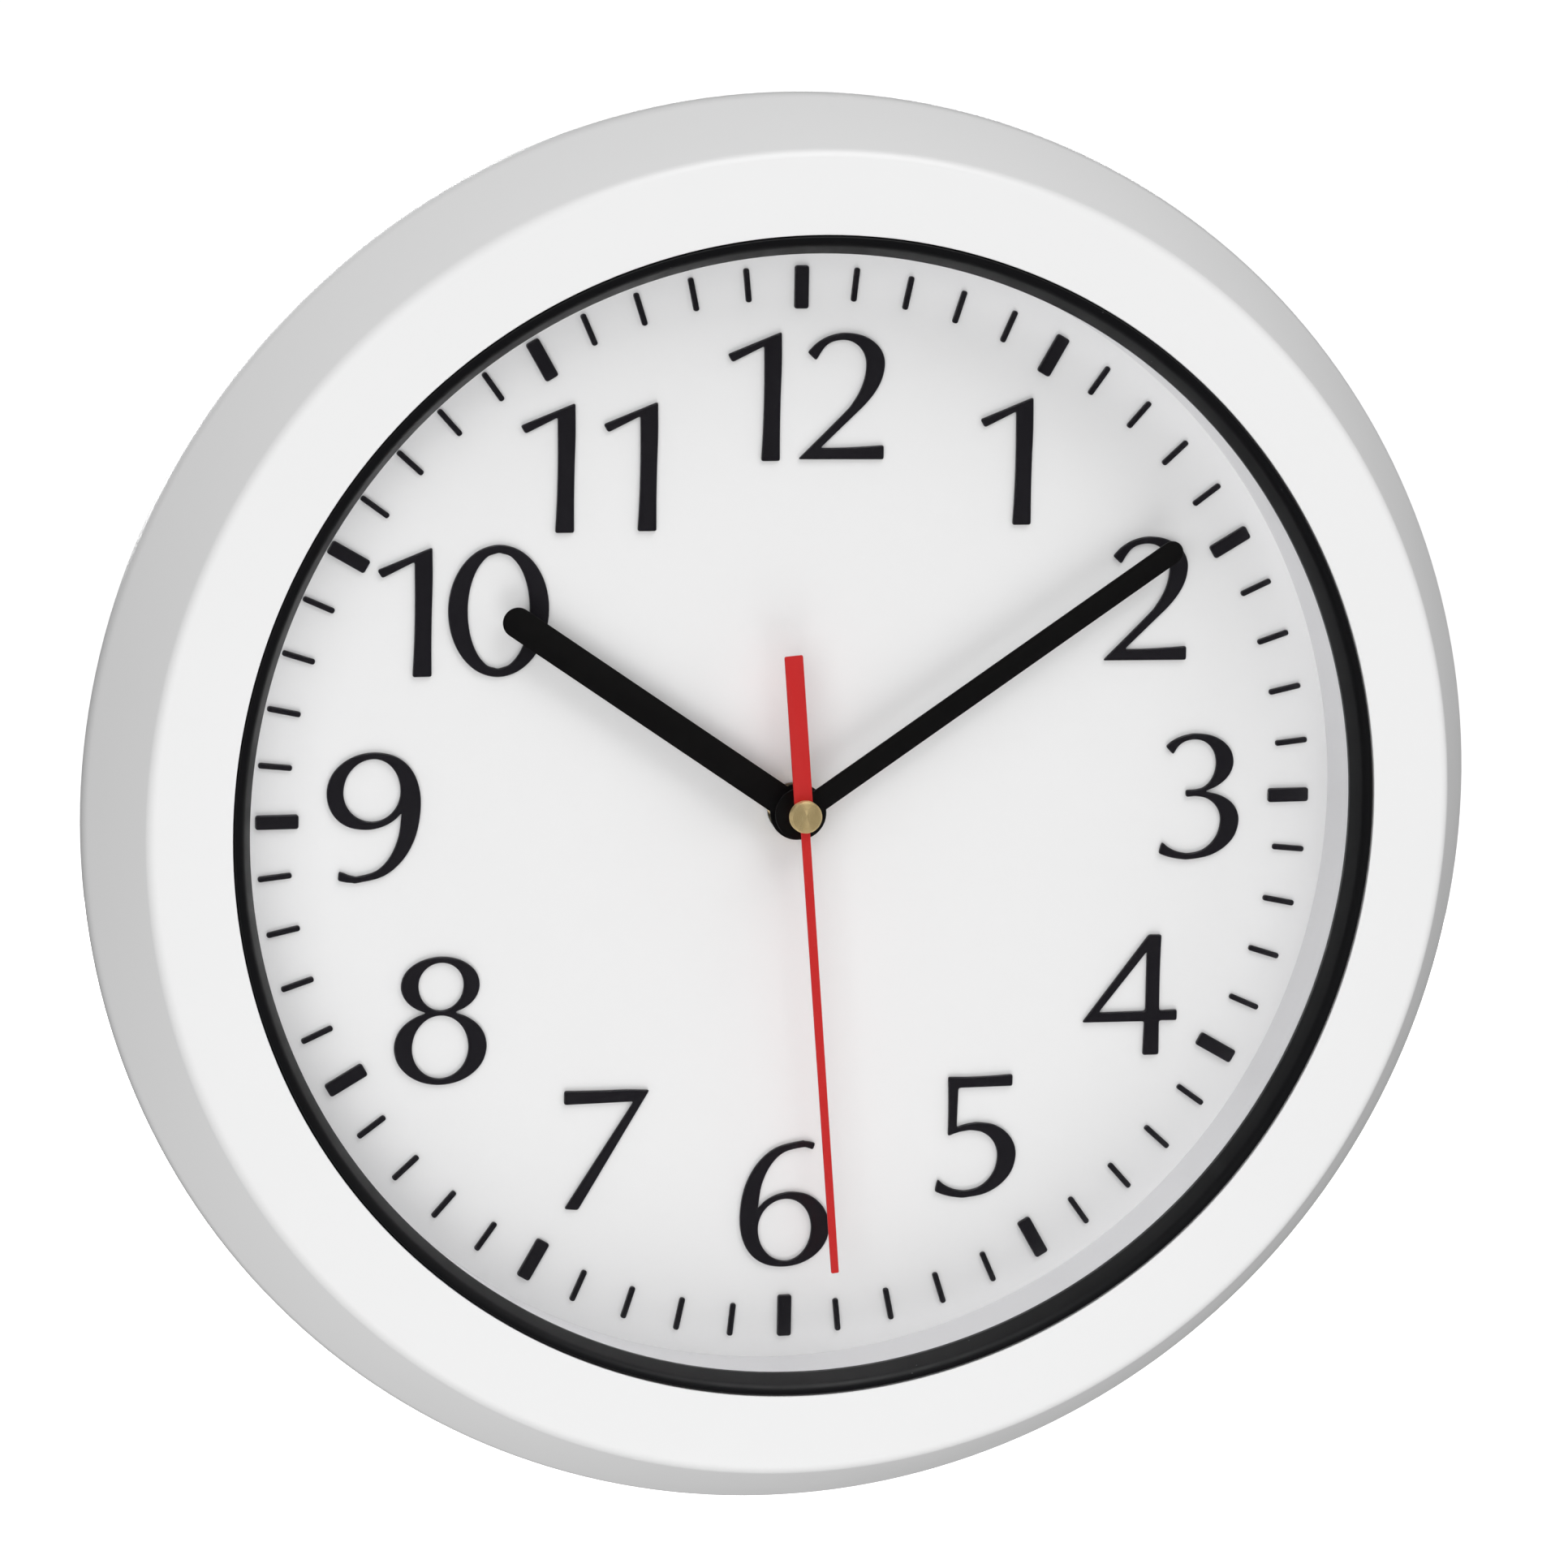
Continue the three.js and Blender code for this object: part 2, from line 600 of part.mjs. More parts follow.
function secondHandBar() {
  const { length, tail, angle } = secondHand;
  const shape = new THREE.Shape();
  shape.moveTo(-secondTailWidth / 2, -tail);
  shape.lineTo(secondTailWidth / 2, -tail);
  shape.lineTo(secondTailWidth / 2, 0);
  shape.lineTo(secondRootWidth / 2, 0);
  shape.lineTo(secondTipWidth / 2, length);
  shape.lineTo(-secondTipWidth / 2, length);
  shape.lineTo(-secondRootWidth / 2, 0);
  shape.lineTo(-secondTailWidth / 2, 0);
  shape.closePath();
  const front = secondHandFront;
  const bar = slab(shape, front - handThickness, front);
  const hub = disc(secondHand.hub, front - handThickness, front, smallSides);
  const boreRadius = secondArborRadius + pressGap;
  const bore = disc(boreRadius, front - handThickness - overcut, front + overcut, smallSides);
  return cut(join(bar, hub), bore).rotateZ(turnTo(angle));
}

function handCap() {
  const back = secondHandFront + pressGap;
  const front = capFront;
  const bore = secondArborRadius + pressGap;
  return turned([
    [bore, back],
    [capRadius, back],
    [capRadius, front - capBevel],
    [capRadius - capBevel, front],
    [0, front],
    [0, front - capBevel],
    [bore, front - capBevel],
  ]);
}

// ---------------------------------------------------------------- bush, nut and washers

function movementBush() {
  const bore = hourPipeRadius + runGap;
  const flangeRadius = bushRadius + bushFlangeWidth;
  return turned([
    [bore, bushFlangeFront - bushFlangeThickness],
    [flangeRadius, bushFlangeFront - bushFlangeThickness],
    [flangeRadius, bushFlangeFront],
    [bushRadius, bushFlangeFront],
    [bushRadius, bushFront],
    [bore, bushFront],
  ]);
}

function hexNut() {
  const back = dialFront + 2 * seatGap + washerThickness;
  const corner = (bushRadius + nutWall) / Math.cos(Math.PI / 6);
  const shape = new THREE.Shape();
  for (let i = 0; i < 6; i += 1) {
    const angle = (Math.PI * i) / 3;
    const point = [corner * Math.cos(angle), corner * Math.sin(angle)];
    if (i === 0) shape.moveTo(...point);
    else shape.lineTo(...point);
  }
  shape.closePath();
  shape.holes = [roundHole(0, 0, bushRadius + holeGap)];
  return slab(shape, back, back + nutThickness, 2 * arcSteps);
}

function flatWasher() {
  const back = dialFront + seatGap;
  const outer = bushRadius + washerWidth;
  return tube(bushRadius + holeGap, outer, back, back + washerThickness);
}

function rubberWasher() {
  const back = movementFront + seatGap;
  const outer = bushRadius + rubberWidth;
  return tube(bushRadius + holeGap, outer, back, back + rubberThickness);
}

// ---------------------------------------------------------------- gear train

// Module of a pair of wheels that mesh at a centre distance.
const moduleOf = (distance, teethA, teethB) => (2 * distance) / (teethA + teethB);

// Angle of one tooth of wheel B, so that it meshes with wheel A, which has a tooth at toothA.
// The direction is the one from A's axis to B's.
function meshingTooth(toothA, teethA, teethB, direction) {
  const pitches = ((direction - toothA) * teethA) / (2 * Math.PI);
  return direction + Math.PI + ((pitches + 0.5) * 2 * Math.PI) / teethB;
}

function gearShape(teeth, module, firstTooth) {
  const pitchRadius = (module * teeth) / 2;
  const root = pitchRadius - toothDedendum * module;
  const tip = pitchRadius + toothAddendum * module;
  const pitch = (2 * Math.PI) / teeth;
  const corners = [
    [root, -toothRootShare / 2],
    [tip, -toothTipShare / 2],
    [tip, toothTipShare / 2],
    [root, toothRootShare / 2],
  ];
  const shape = new THREE.Shape();
  for (let tooth = 0; tooth < teeth; tooth += 1) {
    corners.forEach(([radius, share], corner) => {
      const angle = firstTooth + (tooth + share) * pitch;
      const point = [radius * Math.cos(angle), radius * Math.sin(angle)];
      if (tooth === 0 && corner === 0) shape.moveTo(...point);
      else shape.lineTo(...point);
    });
  }
  shape.closePath();
  return shape;
}

function wheel(teeth, module, firstTooth, layer, bore = 0) {
  const shape = gearShape(teeth, module, firstTooth);
  if (bore > 0) shape.holes = [roundHole(0, 0, bore)];
  const z = layerCentre(layer);
  return slab(shape, z - wheelThickness / 2, z + wheelThickness / 2, boreSteps);
}

function pinion(teeth, module, firstTooth, layer, bore = 0) {
  const shape = gearShape(teeth, module, firstTooth);
  if (bore > 0) shape.holes = [roundHole(0, 0, bore)];
  const z = layerCentre(layer);
  const half = wheelThickness / 2 + pinionOverhang;
  return slab(shape, z - half, z + half, boreSteps);
}

// An arbor with a thin pivot at each end, which turns in the housing and the rear plate.
function pivotedArbor(radius, zLow, zHigh) {
  return turned(
    [
      [0, zLow - pivotLength],
      [pivotRadius, zLow - pivotLength],
      [pivotRadius, zLow],
      [radius, zLow],
      [radius, zHigh],
      [pivotRadius, zHigh],
      [pivotRadius, zHigh + pivotLength],
      [0, zHigh + pivotLength],
    ],
    smallSides,
  );
}

function polar(distance, direction) {
  return new THREE.Vector2(distance * Math.cos(direction), distance * Math.sin(direction));
}

const thirdAxis = polar(thirdDistance, thirdDirection);
const intermediateAxis = polar(intermediateDistance, intermediateDirection);
const rotorAxis = intermediateAxis.clone().add(polar(rotorDistance, rotorDirection));
const motionAxis = polar(motionDistance, motionDirection);
const knobAxis = motionAxis.clone().add(polar(motionDistance, knobDirection));

const modules = {
  rotor: moduleOf(rotorDistance, train.rotorPinion, train.intermediateWheel),
  second: moduleOf(intermediateDistance, train.intermediatePinion, train.secondWheel),
  third: moduleOf(thirdDistance, train.secondPinion, train.thirdWheel),
  centre: moduleOf(thirdDistance, train.thirdPinion, train.centreWheel),
  motion: moduleOf(motionDistance, train.cannonPinion, train.motionWheel),
  hour: moduleOf(motionDistance, train.motionPinion, train.hourWheel),
};

const layers = { intermediate: 0, second: 1, third: 2, centre: 3, motion: 4, hour: 5 };
const arborBottom = layersBottom;
const arborTop = movementFront - movementWall - seatGap;

function secondWheel() {
  const arborFront = secondHandFront + pipeProud;
  const pinionTooth = 0;
  const arbor = turned(
    [
      [0, arborBottom - pivotLength],
      [pivotRadius, arborBottom - pivotLength],
      [pivotRadius, arborBottom],
      [secondArborRadius, arborBottom],
      [secondArborRadius, arborFront],
      [0, arborFront],
    ],
    smallSides,
  );
  return join(
    wheel(train.secondWheel, modules.second, 0, layers.second),
    pinion(train.secondPinion, modules.third, pinionTooth, layers.third),
    arbor,
  );
}

function thirdWheel() {
  const wheelTooth = meshingTooth(0, train.secondPinion, train.thirdWheel, thirdDirection);
  const gears = join(
    wheel(train.thirdWheel, modules.third, wheelTooth, layers.third),
    pinion(train.thirdPinion, modules.centre, 0, layers.centre),
    pivotedArbor(arborRadius, arborBottom, arborTop),
  );
  return gears.translate(thirdAxis.x, thirdAxis.y, 0);
}

// The centre wheel slips on the minute pipe when the hands are set.
function centreWheel() {
  const tooth = meshingTooth(0, train.thirdPinion, train.centreWheel, thirdDirection + Math.PI);
  return wheel(train.centreWheel, modules.centre, tooth, layers.centre, minutePipeRadius + pressGap);
}

function intermediateWheel() {
  const direction = intermediateDirection;
  const pinionTooth = meshingTooth(0, train.secondWheel, train.intermediatePinion, direction);
  const gears = join(
    wheel(train.intermediateWheel, modules.rotor, 0, layers.intermediate),
    pinion(train.intermediatePinion, modules.second, pinionTooth, layers.second),
    pivotedArbor(arborRadius, arborBottom, arborTop),
  );
  return gears.translate(intermediateAxis.x, intermediateAxis.y, 0);
}

const magnetBack = layerCentre(layers.intermediate) + wheelThickness / 2 + pinionOverhang;

function rotor() {
  const tooth = meshingTooth(0, train.intermediateWheel, train.rotorPinion, rotorDirection);
  const pieces = join(
    pinion(train.rotorPinion, modules.rotor, tooth, layers.intermediate),
    disc(magnetRadius, magnetBack, magnetBack + magnetHeight, smallSides),
    pivotedArbor(arborRadius, arborBottom, arborTop),
  );
  return pieces.translate(rotorAxis.x, rotorAxis.y, 0);
}

// The minute pipe carries the minute hand in front and the cannon pinion behind.
function minutePipe() {
  const bore = secondArborRadius + runGap;
  const back = layerCentre(layers.centre) - wheelThickness / 2 - pinionOverhang;
  const pipe = tube(bore, minutePipeRadius, back, minuteHandFront + pipeProud);
  const teeth = pinion(train.cannonPinion, modules.motion, 0, layers.motion, (bore + minutePipeRadius) / 2);
  return join(pipe, teeth);
}

function hourWheel() {
  const back = layerCentre(layers.hour) - wheelThickness / 2;
  const bore = minutePipeRadius + runGap;
  const pipe = tube(bore, hourPipeRadius, back, hourHandFront + pipeProud);
  return join(pipe, wheel(train.hourWheel, modules.hour, 0, layers.hour, (bore + hourPipeRadius) / 2));
}

function motionWheel() {
  const wheelTooth = meshingTooth(0, train.cannonPinion, train.motionWheel, motionDirection);
  const pinionTooth = meshingTooth(0, train.hourWheel, train.motionPinion, motionDirection);
  const back = layerCentre(layers.motion) - wheelThickness / 2;
  const gears = join(
    wheel(train.motionWheel, modules.motion, wheelTooth, layers.motion),
    pinion(train.motionPinion, modules.hour, pinionTooth, layers.hour),
    disc(arborRadius, back, arborTop, smallSides),
    disc(pivotRadius, back, arborTop + pivotLength, smallSides),
  );
  return gears.translate(motionAxis.x, motionAxis.y, 0);
}

// ---------------------------------------------------------------- setting knob

function settingKnob() {
  const front = movementBack - seatGap;
  const back = front - knobThickness;
  const wheelTooth = meshingTooth(0, train.cannonPinion, train.motionWheel, motionDirection);
  const tooth = meshingTooth(wheelTooth, train.motionWheel, train.knobPinion, knobDirection);
  const grip = new THREE.Shape();
  const steps = knobRibs * 2;
  for (let step = 0; step < steps; step += 1) {
    const angle = (2 * Math.PI * step) / steps;
    const radius = step % 2 === 0 ? knobRadius : knobRadius - knobRibHeight;
    const point = [radius * Math.cos(angle), radius * Math.sin(angle)];
    if (step === 0) grip.moveTo(...point);
    else grip.lineTo(...point);
  }
  grip.closePath();
  const pieces = join(
    slab(grip, back, front),
    disc(knobShaftRadius, front - knobThickness / 2, layerCentre(layers.motion), smallSides),
    pinion(train.knobPinion, modules.motion, tooth, layers.motion),
  );
  return pieces.translate(knobAxis.x, knobAxis.y, 0);
}

// ---------------------------------------------------------------- movement housing and rear plate

function movementHousing() {
  const outline = roundedRectangle(movementWidth, movementWidth, movementCorner);
  const body = slab(outline, movementBack, movementFront);
  const frontWall = movementFront - movementWall;
  const pocket = (low, high, front) => {
    const depth = front - movementBack + overcut;
    const z = movementBack - overcut + depth / 2;
    return block(2 * cavityHalf, high - low, depth, 0, (low + high) / 2, z);
  };
  const cavity = pocket(cavityBottom, cavityHalf, frontWall);
  const bay = pocket(bayBottom, bayTop, movementFront - bayFrontWall);
  const bushHole = disc(bushRadius + holeGap, frontWall - overcut, movementFront + overcut);
  const pivotBores = [thirdAxis, intermediateAxis, rotorAxis, motionAxis].map(({ x, y }) => {
    const bore = disc(pivotRadius + runGap, frontWall - overcut, frontWall + pivotBoreDepth, smallSides);
    return bore.translate(x, y, 0);
  });
  return cut(body, cavity, bay, bushHole, ...pivotBores);
}

function movementCover() {
  const height = cavityHalf - cavityBottom - 2 * seatGap;
  const width = 2 * cavityHalf - 2 * seatGap;
  const middle = (cavityHalf + cavityBottom) / 2;
  const front = movementBack + movementWall;
  const plate = block(width, height, movementWall, 0, middle, movementBack + movementWall / 2);
  const pivotBores = [thirdAxis, intermediateAxis, rotorAxis, new THREE.Vector2()].map(({ x, y }) => {
    const bore = disc(pivotRadius + runGap, front - pivotBoreDepth, front + overcut, smallSides);
    return bore.translate(x, y, 0);
  });
  const knobHole = disc(knobShaftRadius + runGap, movementBack - overcut, front + overcut, smallSides);
  return cut(plate, knobHole.translate(knobAxis.x, knobAxis.y, 0), ...pivotBores);
}

// ---------------------------------------------------------------- motor, circuit and battery

const statorBack = magnetBack + (magnetHeight - statorThickness) / 2;
const statorReach = coilLength / 2 + seatGap + coreWidth;
const coilCentreY = rotorAxis.y + statorRing + seatGap + coilFlangeRadius;

function stator() {
  const tabHeight = coilCentreY + coreWidth / 2 - rotorAxis.y;
  const bar = roundedRectangle(2 * statorReach, coreWidth, stampedCorner, rotorAxis.x, rotorAxis.y);
  const z = [statorBack, statorBack + statorThickness];
  const tabs = [-1, 1].map((side) => {
    const x = rotorAxis.x + side * (statorReach - coreWidth / 2);
    const tab = roundedRectangle(coreWidth, tabHeight, stampedCorner, x, rotorAxis.y + tabHeight / 2);
    return slab(tab, ...z);
  });
  const ring = disc(statorRing, ...z).translate(rotorAxis.x, rotorAxis.y, 0);
  const hole = disc(statorHole, z[0] - overcut, z[1] + overcut).translate(rotorAxis.x, rotorAxis.y, 0);
  return cut(join(slab(bar, ...z), ...tabs, ring), hole);
}

// The coil's winding and bobbin, on an iron core whose ends rest on the stator's tabs.
function coil() {
  const half = coilLength / 2;
  const spool = turned(
    [
      [0, -half],
      [coilFlangeRadius, -half],
      [coilFlangeRadius, -half + coilFlangeThickness],
      [coilRadius, -half + coilFlangeThickness],
      [coilRadius, half - coilFlangeThickness],
      [coilFlangeRadius, half - coilFlangeThickness],
      [coilFlangeRadius, half],
      [0, half],
    ],
    smallSides,
  ).rotateY(Math.PI / 2);
  const core = block(2 * statorReach, coreWidth, coreThickness, 0, 0, 0);
  const z = statorBack + statorThickness + seatGap + coreThickness / 2;
  return join(spool, core).translate(rotorAxis.x, coilCentreY, z);
}

const boardFront = movementBack + movementWall + seatGap + boardThickness;

function circuitBoard() {
  const shape = roundedRectangle(boardWidth, boardHeight, stampedCorner, boardCentre.x, boardCentre.y);
  return slab(shape, boardFront - boardThickness, boardFront, 2);
}

function quartzCrystal() {
  const can = new THREE.CylinderGeometry(crystalRadius, crystalRadius, crystalLength, smallSides);
  return can.translate(boardCentre.x - boardWidth / 4, boardCentre.y, boardFront + crystalRadius + seatGap);
}

const bayMiddle = (bayTop + bayBottom) / 2;
const cellCentreZ = movementBack + cellRadius + seatGap;

function batteryCell() {
  const half = (cellLength + cellNubLength) / 2;
  const shoulder = half - cellNubLength;
  const can = turned(
    [
      [0, -half],
      [cellRadius - cellEdge, -half],
      [cellRadius, -half + cellEdge],
      [cellRadius, shoulder - cellEdge],
      [cellRadius - cellEdge, shoulder],
      [cellNubRadius, shoulder],
      [cellNubRadius, half],
      [0, half],
    ],
    middleSides,
  );
  return can.rotateY(Math.PI / 2).translate(0, bayMiddle, cellCentreZ);
}

const contactX = cavityHalf - seatGap - contactThickness / 2;
const contactHeight = 2 * (cellRadius - contactInset);

function positiveContact() {
  return block(contactThickness, contactWidth, contactHeight, contactX, bayMiddle, cellCentreZ);
}

// A leaf with a bent tongue that presses on the cell's flat end.
function negativeContact() {
  const leaf = block(contactThickness, contactWidth, contactHeight, -contactX, bayMiddle, cellCentreZ);
  const cellEnd = (cellLength + cellNubLength) / 2 + seatGap;
  const tongue = new THREE.Shape();
  const root = contactHeight / 2 - contactInset;
  tongue.moveTo(-contactX, root);
  tongue.lineTo(-cellEnd - contactThickness, 0);
  tongue.lineTo(-cellEnd, 0);
  tongue.lineTo(-contactX, root + 2 * contactThickness);
  tongue.closePath();
  const width = contactWidth / 2;
  const bent = slab(tongue, -width / 2, width / 2).rotateX(Math.PI / 2);
  return join(leaf, bent.translate(0, bayMiddle, cellCentreZ));
}

// ---------------------------------------------------------------- rear cover, hanger and screws

function hangerScrewPlaces() {
  const y = hangerHeight - keyholeDrop / 2;
  return [-1, 1].map((side) => new THREE.Vector2((side * hangerScrewSpacing) / 2, y));
}

function keyholeShape(headRadius, slotRadius) {
  const y = hangerHeight - keyholeDrop;
  const neck = Math.acos(slotRadius / headRadius);
  const shape = new THREE.Path();
  shape.absarc(0, y, headRadius, neck, Math.PI - neck, true);
  shape.absarc(0, hangerHeight - slotRadius, slotRadius, Math.PI, 0, true);
  shape.closePath();
  return shape;
}

function supportRing() {
  const outer = supportInnerRadius + supportThickness;
  return tube(supportInnerRadius, outer, coverFront + seatGap, dialBack - seatGap, bigSides);
}

function rearCover() {
  const plate = disc(coverRadius, coverInset, coverFront, bigSides);
  const low = coverInset - overcut;
  const high = coverFront + overcut;
  const windowWidth = movementWidth + 2 * movementWindow;
  const window = slab(roundedRectangle(windowWidth, windowWidth, movementCorner), low, high);
  const pocketWidth = 2 * (keyholeHeadRadius + headPocketMargin);
  const pocketHeight = keyholeDrop + pocketWidth;
  const pocketMiddle = hangerHeight - keyholeDrop / 2;
  const pocketOutline = roundedRectangle(pocketWidth, pocketHeight, headPocketMargin, 0, pocketMiddle);
  const pocket = slab(pocketOutline, low, high);
  const screwHoles = [...bossPlaces(), ...hangerScrewPlaces()].map(({ x, y }) => {
    return disc(screwShankRadius + holeGap, low, high, smallSides).translate(x, y, 0);
  });
  return cut(plate, window, pocket, ...screwHoles);
}

function hangerPlate() {
  const middle = hangerHeight - keyholeDrop / 2;
  const shape = roundedRectangle(hangerWidth, hangerPlateHeight, hangerCorner, 0, middle);
  const screwHoles = hangerScrewPlaces().map(({ x, y }) => roundHole(x, y, screwShankRadius + holeGap));
  shape.holes = [keyholeShape(keyholeHeadRadius, keyholeSlotRadius), ...screwHoles];
  return slab(shape, hangerBack, hangerFront);
}

function screw(place, seat, length) {
  const headBack = seat - seatGap - screwHeadThickness;
  const shape = [
    [0, headBack],
    [screwHeadRadius - screwHeadEdge, headBack],
    [screwHeadRadius, headBack + screwHeadThickness / 2],
    [screwHeadRadius, seat - seatGap],
    [screwShankRadius, seat - seatGap],
    [screwShankRadius, seat - seatGap + length],
    [0, seat - seatGap + length],
  ];
  return turned(shape, smallSides).translate(place.x, place.y, 0);
}

// ---------------------------------------------------------------- the assembly

addPart("case_shell", caseShell(), whiteGloss);
addPart("trim_ring", trimRing(), blackTrim);
addPart("lens", lens(), lensClear);
addPart("inner_wall", innerWall(), wallGrey);
addPart("dial_plate", dialPlate(), dialWhite);
numeralSpots.forEach((spot) => addPart(spot.name, numeral(spot), numeralBlack));
addPart("hour_hand", roundTippedHand(hourHand, hourHandFront, hourPipeRadius + pressGap), handBlack);
addPart("minute_hand", roundTippedHand(minuteHand, minuteHandFront, minutePipeRadius + pressGap), handBlack);
addPart("second_hand", secondHandBar(), handRed);
addPart("hand_cap", handCap(), brass);
addPart("movement_bush", movementBush(), brass);
addPart("hex_nut", hexNut(), brass);
addPart("flat_washer", flatWasher(), steel);
addPart("rubber_washer", rubberWasher(), rubberBlack);
addPart("movement_housing", movementHousing(), movementBlack);
addPart("movement_cover", movementCover(), movementBlack);
addPart("second_wheel", secondWheel(), gearNatural);
addPart("third_wheel", thirdWheel(), gearNatural);
addPart("centre_wheel", centreWheel(), gearNatural);
addPart("intermediate_wheel", intermediateWheel(), gearNatural);
addPart("rotor", rotor(), magnetGrey);
addPart("minute_pipe", minutePipe(), gearNatural);
addPart("hour_wheel", hourWheel(), gearNatural);
addPart("motion_wheel", motionWheel(), gearNatural);
addPart("setting_knob", settingKnob(), knobWhite);
addPart("stator", stator(), steel);
addPart("coil", coil(), copper);
addPart("circuit_board", circuitBoard(), boardGreen);
addPart("quartz_crystal", quartzCrystal(), steel);
addPart("battery_cell", batteryCell(), cellBlue);
addPart("positive_contact", positiveContact(), steel);
addPart("negative_contact", negativeContact(), steel);
addPart("support_ring", supportRing(), wallGrey);
addPart("rear_cover", rearCover(), whiteGloss);
addPart("hanger_plate", hangerPlate(), steel);
bossPlaces().forEach((place, i) => {
  addPart(`cover_screw_${i + 1}`, screw(place, coverInset, screwLength), steel);
});
hangerScrewPlaces().forEach((place, i) => {
  addPart(`hanger_screw_${i + 1}`, screw(place, hangerBack, screwLength / 2), steel);
});

// Face towards -Y, +Z up, with the origin where the wall screw holds the keyhole.
clock.rotation.x = Math.PI / 2;
clock.position.z = -(hangerHeight - keyholeSlotRadius);
const model = new THREE.Group();
model.add(clock);
model.updateMatrixWorld(true);

export default model;
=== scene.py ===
import math

import bmesh
import bpy
from mathutils import Matrix, Vector


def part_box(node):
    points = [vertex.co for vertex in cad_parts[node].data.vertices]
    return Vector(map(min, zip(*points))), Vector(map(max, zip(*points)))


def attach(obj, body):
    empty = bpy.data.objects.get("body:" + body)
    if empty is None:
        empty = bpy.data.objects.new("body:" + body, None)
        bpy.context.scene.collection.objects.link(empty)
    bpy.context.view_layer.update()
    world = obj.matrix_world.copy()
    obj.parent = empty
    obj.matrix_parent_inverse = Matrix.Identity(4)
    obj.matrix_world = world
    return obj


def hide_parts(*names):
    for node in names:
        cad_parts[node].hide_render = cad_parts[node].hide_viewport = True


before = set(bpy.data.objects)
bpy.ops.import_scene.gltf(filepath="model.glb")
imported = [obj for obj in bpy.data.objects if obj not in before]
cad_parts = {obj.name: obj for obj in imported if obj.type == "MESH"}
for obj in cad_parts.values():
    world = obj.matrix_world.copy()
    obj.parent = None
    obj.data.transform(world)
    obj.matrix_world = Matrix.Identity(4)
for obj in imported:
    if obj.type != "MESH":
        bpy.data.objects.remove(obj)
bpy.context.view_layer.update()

MM = 0.001


# ---------------------------------------------------------------- places read from the CAD


def depth_range(node):
    """Depths out from the wall, in millimetres, of a node's back and front."""
    low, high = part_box(node)
    return -high.y / MM, -low.y / MM


def middle_of(node):
    """Middle of a node across the clock and up it, in millimetres."""
    low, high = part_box(node)
    return (low.x + high.x) / 2 / MM, (low.z + high.z) / 2 / MM


AXIS_HEIGHT = middle_of("hand_cap")[1]  # the hands' axis, below the hanging point
CASE_RADIUS = (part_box("case_shell")[1].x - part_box("case_shell")[0].x) / 2 / MM
RING_FRONT = depth_range("case_shell")[1]
DIAL_BACK = depth_range("dial_plate")[0]
NUMERAL_HEIGHT = 1.0
DIAL_FRONT = depth_range("numeral_3")[1] - NUMERAL_HEIGHT
LENS_BACK, LENS_FRONT = depth_range("lens")
COVER_BACK, COVER_FRONT = depth_range("rear_cover")
COVER_SCREWS = [f"cover_screw_{i}" for i in range(1, 5)]
HANGER_SCREWS = [f"hanger_screw_{i}" for i in range(1, 3)]


def at(x, height, depth):
    """Place in metres of a point across, up from the hands' axis and out from the wall."""
    return Vector((x, -depth, AXIS_HEIGHT + height)) * MM


# ---------------------------------------------------------------- camera

CAMERA_PLACE = (-0.3251, -1.2716, 0.1512)
CAMERA_BACK = Vector((-0.24691, -0.95455, 0.16696))  # from the clock towards the camera
CAMERA_UP = Vector((0.0255, 0.16583, 0.98582))
FOCAL_LENGTH = 142.915
SENSOR_WIDTH = 36.0


def place_camera():
    camera = bpy.data.objects.new("camera", bpy.data.cameras.new("camera"))
    camera.data.lens = FOCAL_LENGTH
    camera.data.sensor_width = SENSOR_WIDTH
    camera.data.clip_start = 0.01
    back = CAMERA_BACK.normalized()
    right = CAMERA_UP.cross(back).normalized()
    up = back.cross(right)
    turned = Matrix((right, up, back)).transposed().to_4x4()
    camera.matrix_world = Matrix.Translation(CAMERA_PLACE) @ turned
    bpy.context.scene.collection.objects.link(camera)
    bpy.context.scene.camera = camera


# ---------------------------------------------------------------- node tools


def linear(hex_colour):
    """A linear colour from an sRGB hex value."""
    parts = [int(hex_colour[i : i + 2], 16) / 255 for i in (1, 3, 5)]
    return (*[c / 12.92 if c <= 0.04045 else ((c + 0.055) / 1.055) ** 2.4 for c in parts], 1.0)


def feed(tree, node, inputs):
    """Gives each named or numbered input of a node its value, or the socket that feeds it."""
    for name, source in inputs.items():
        if isinstance(source, bpy.types.NodeSocket):
            tree.links.new(source, node.inputs[name])
        else:
            node.inputs[name].default_value = source


def add(tree, kind, inputs=None, **settings):
    """Adds a node with its settings and what feeds its inputs."""
    node = tree.nodes.new(kind)
    for name, value in settings.items():
        setattr(node, name, value)
    feed(tree, node, inputs or {})
    return node


def new_material(name):
    """A material with one Principled shader. Gives the material, its tree and the shader."""
    material = bpy.data.materials.new(name)
    material.use_nodes = True
    tree = material.node_tree
    return material, tree, tree.nodes["Principled BSDF"]


def millimetres(tree, centre=(0, 0, 0), stretch=(1, 1, 1)):
    """Object coordinates in millimetres, from a centre, as a socket."""
    place = add(tree, "ShaderNodeTexCoord")
    inputs = {
        "Vector": place.outputs["Object"],
        "Location": tuple(-c * s for c, s in zip(centre, stretch)),
        "Scale": tuple(s / MM for s in stretch),
    }
    return add(tree, "ShaderNodeMapping", inputs).outputs["Vector"]


def mottled(tree, place, size, first, second):
    """Two colours in soft blotches about size millimetres across, as a socket."""
    blotches = add(tree, "ShaderNodeTexNoise", {"Vector": place, "Scale": 1 / size})
    inputs = {0: blotches.outputs["Fac"], 6: linear(first), 7: linear(second)}
    return add(tree, "ShaderNodeMix", inputs, data_type="RGBA").outputs[2]


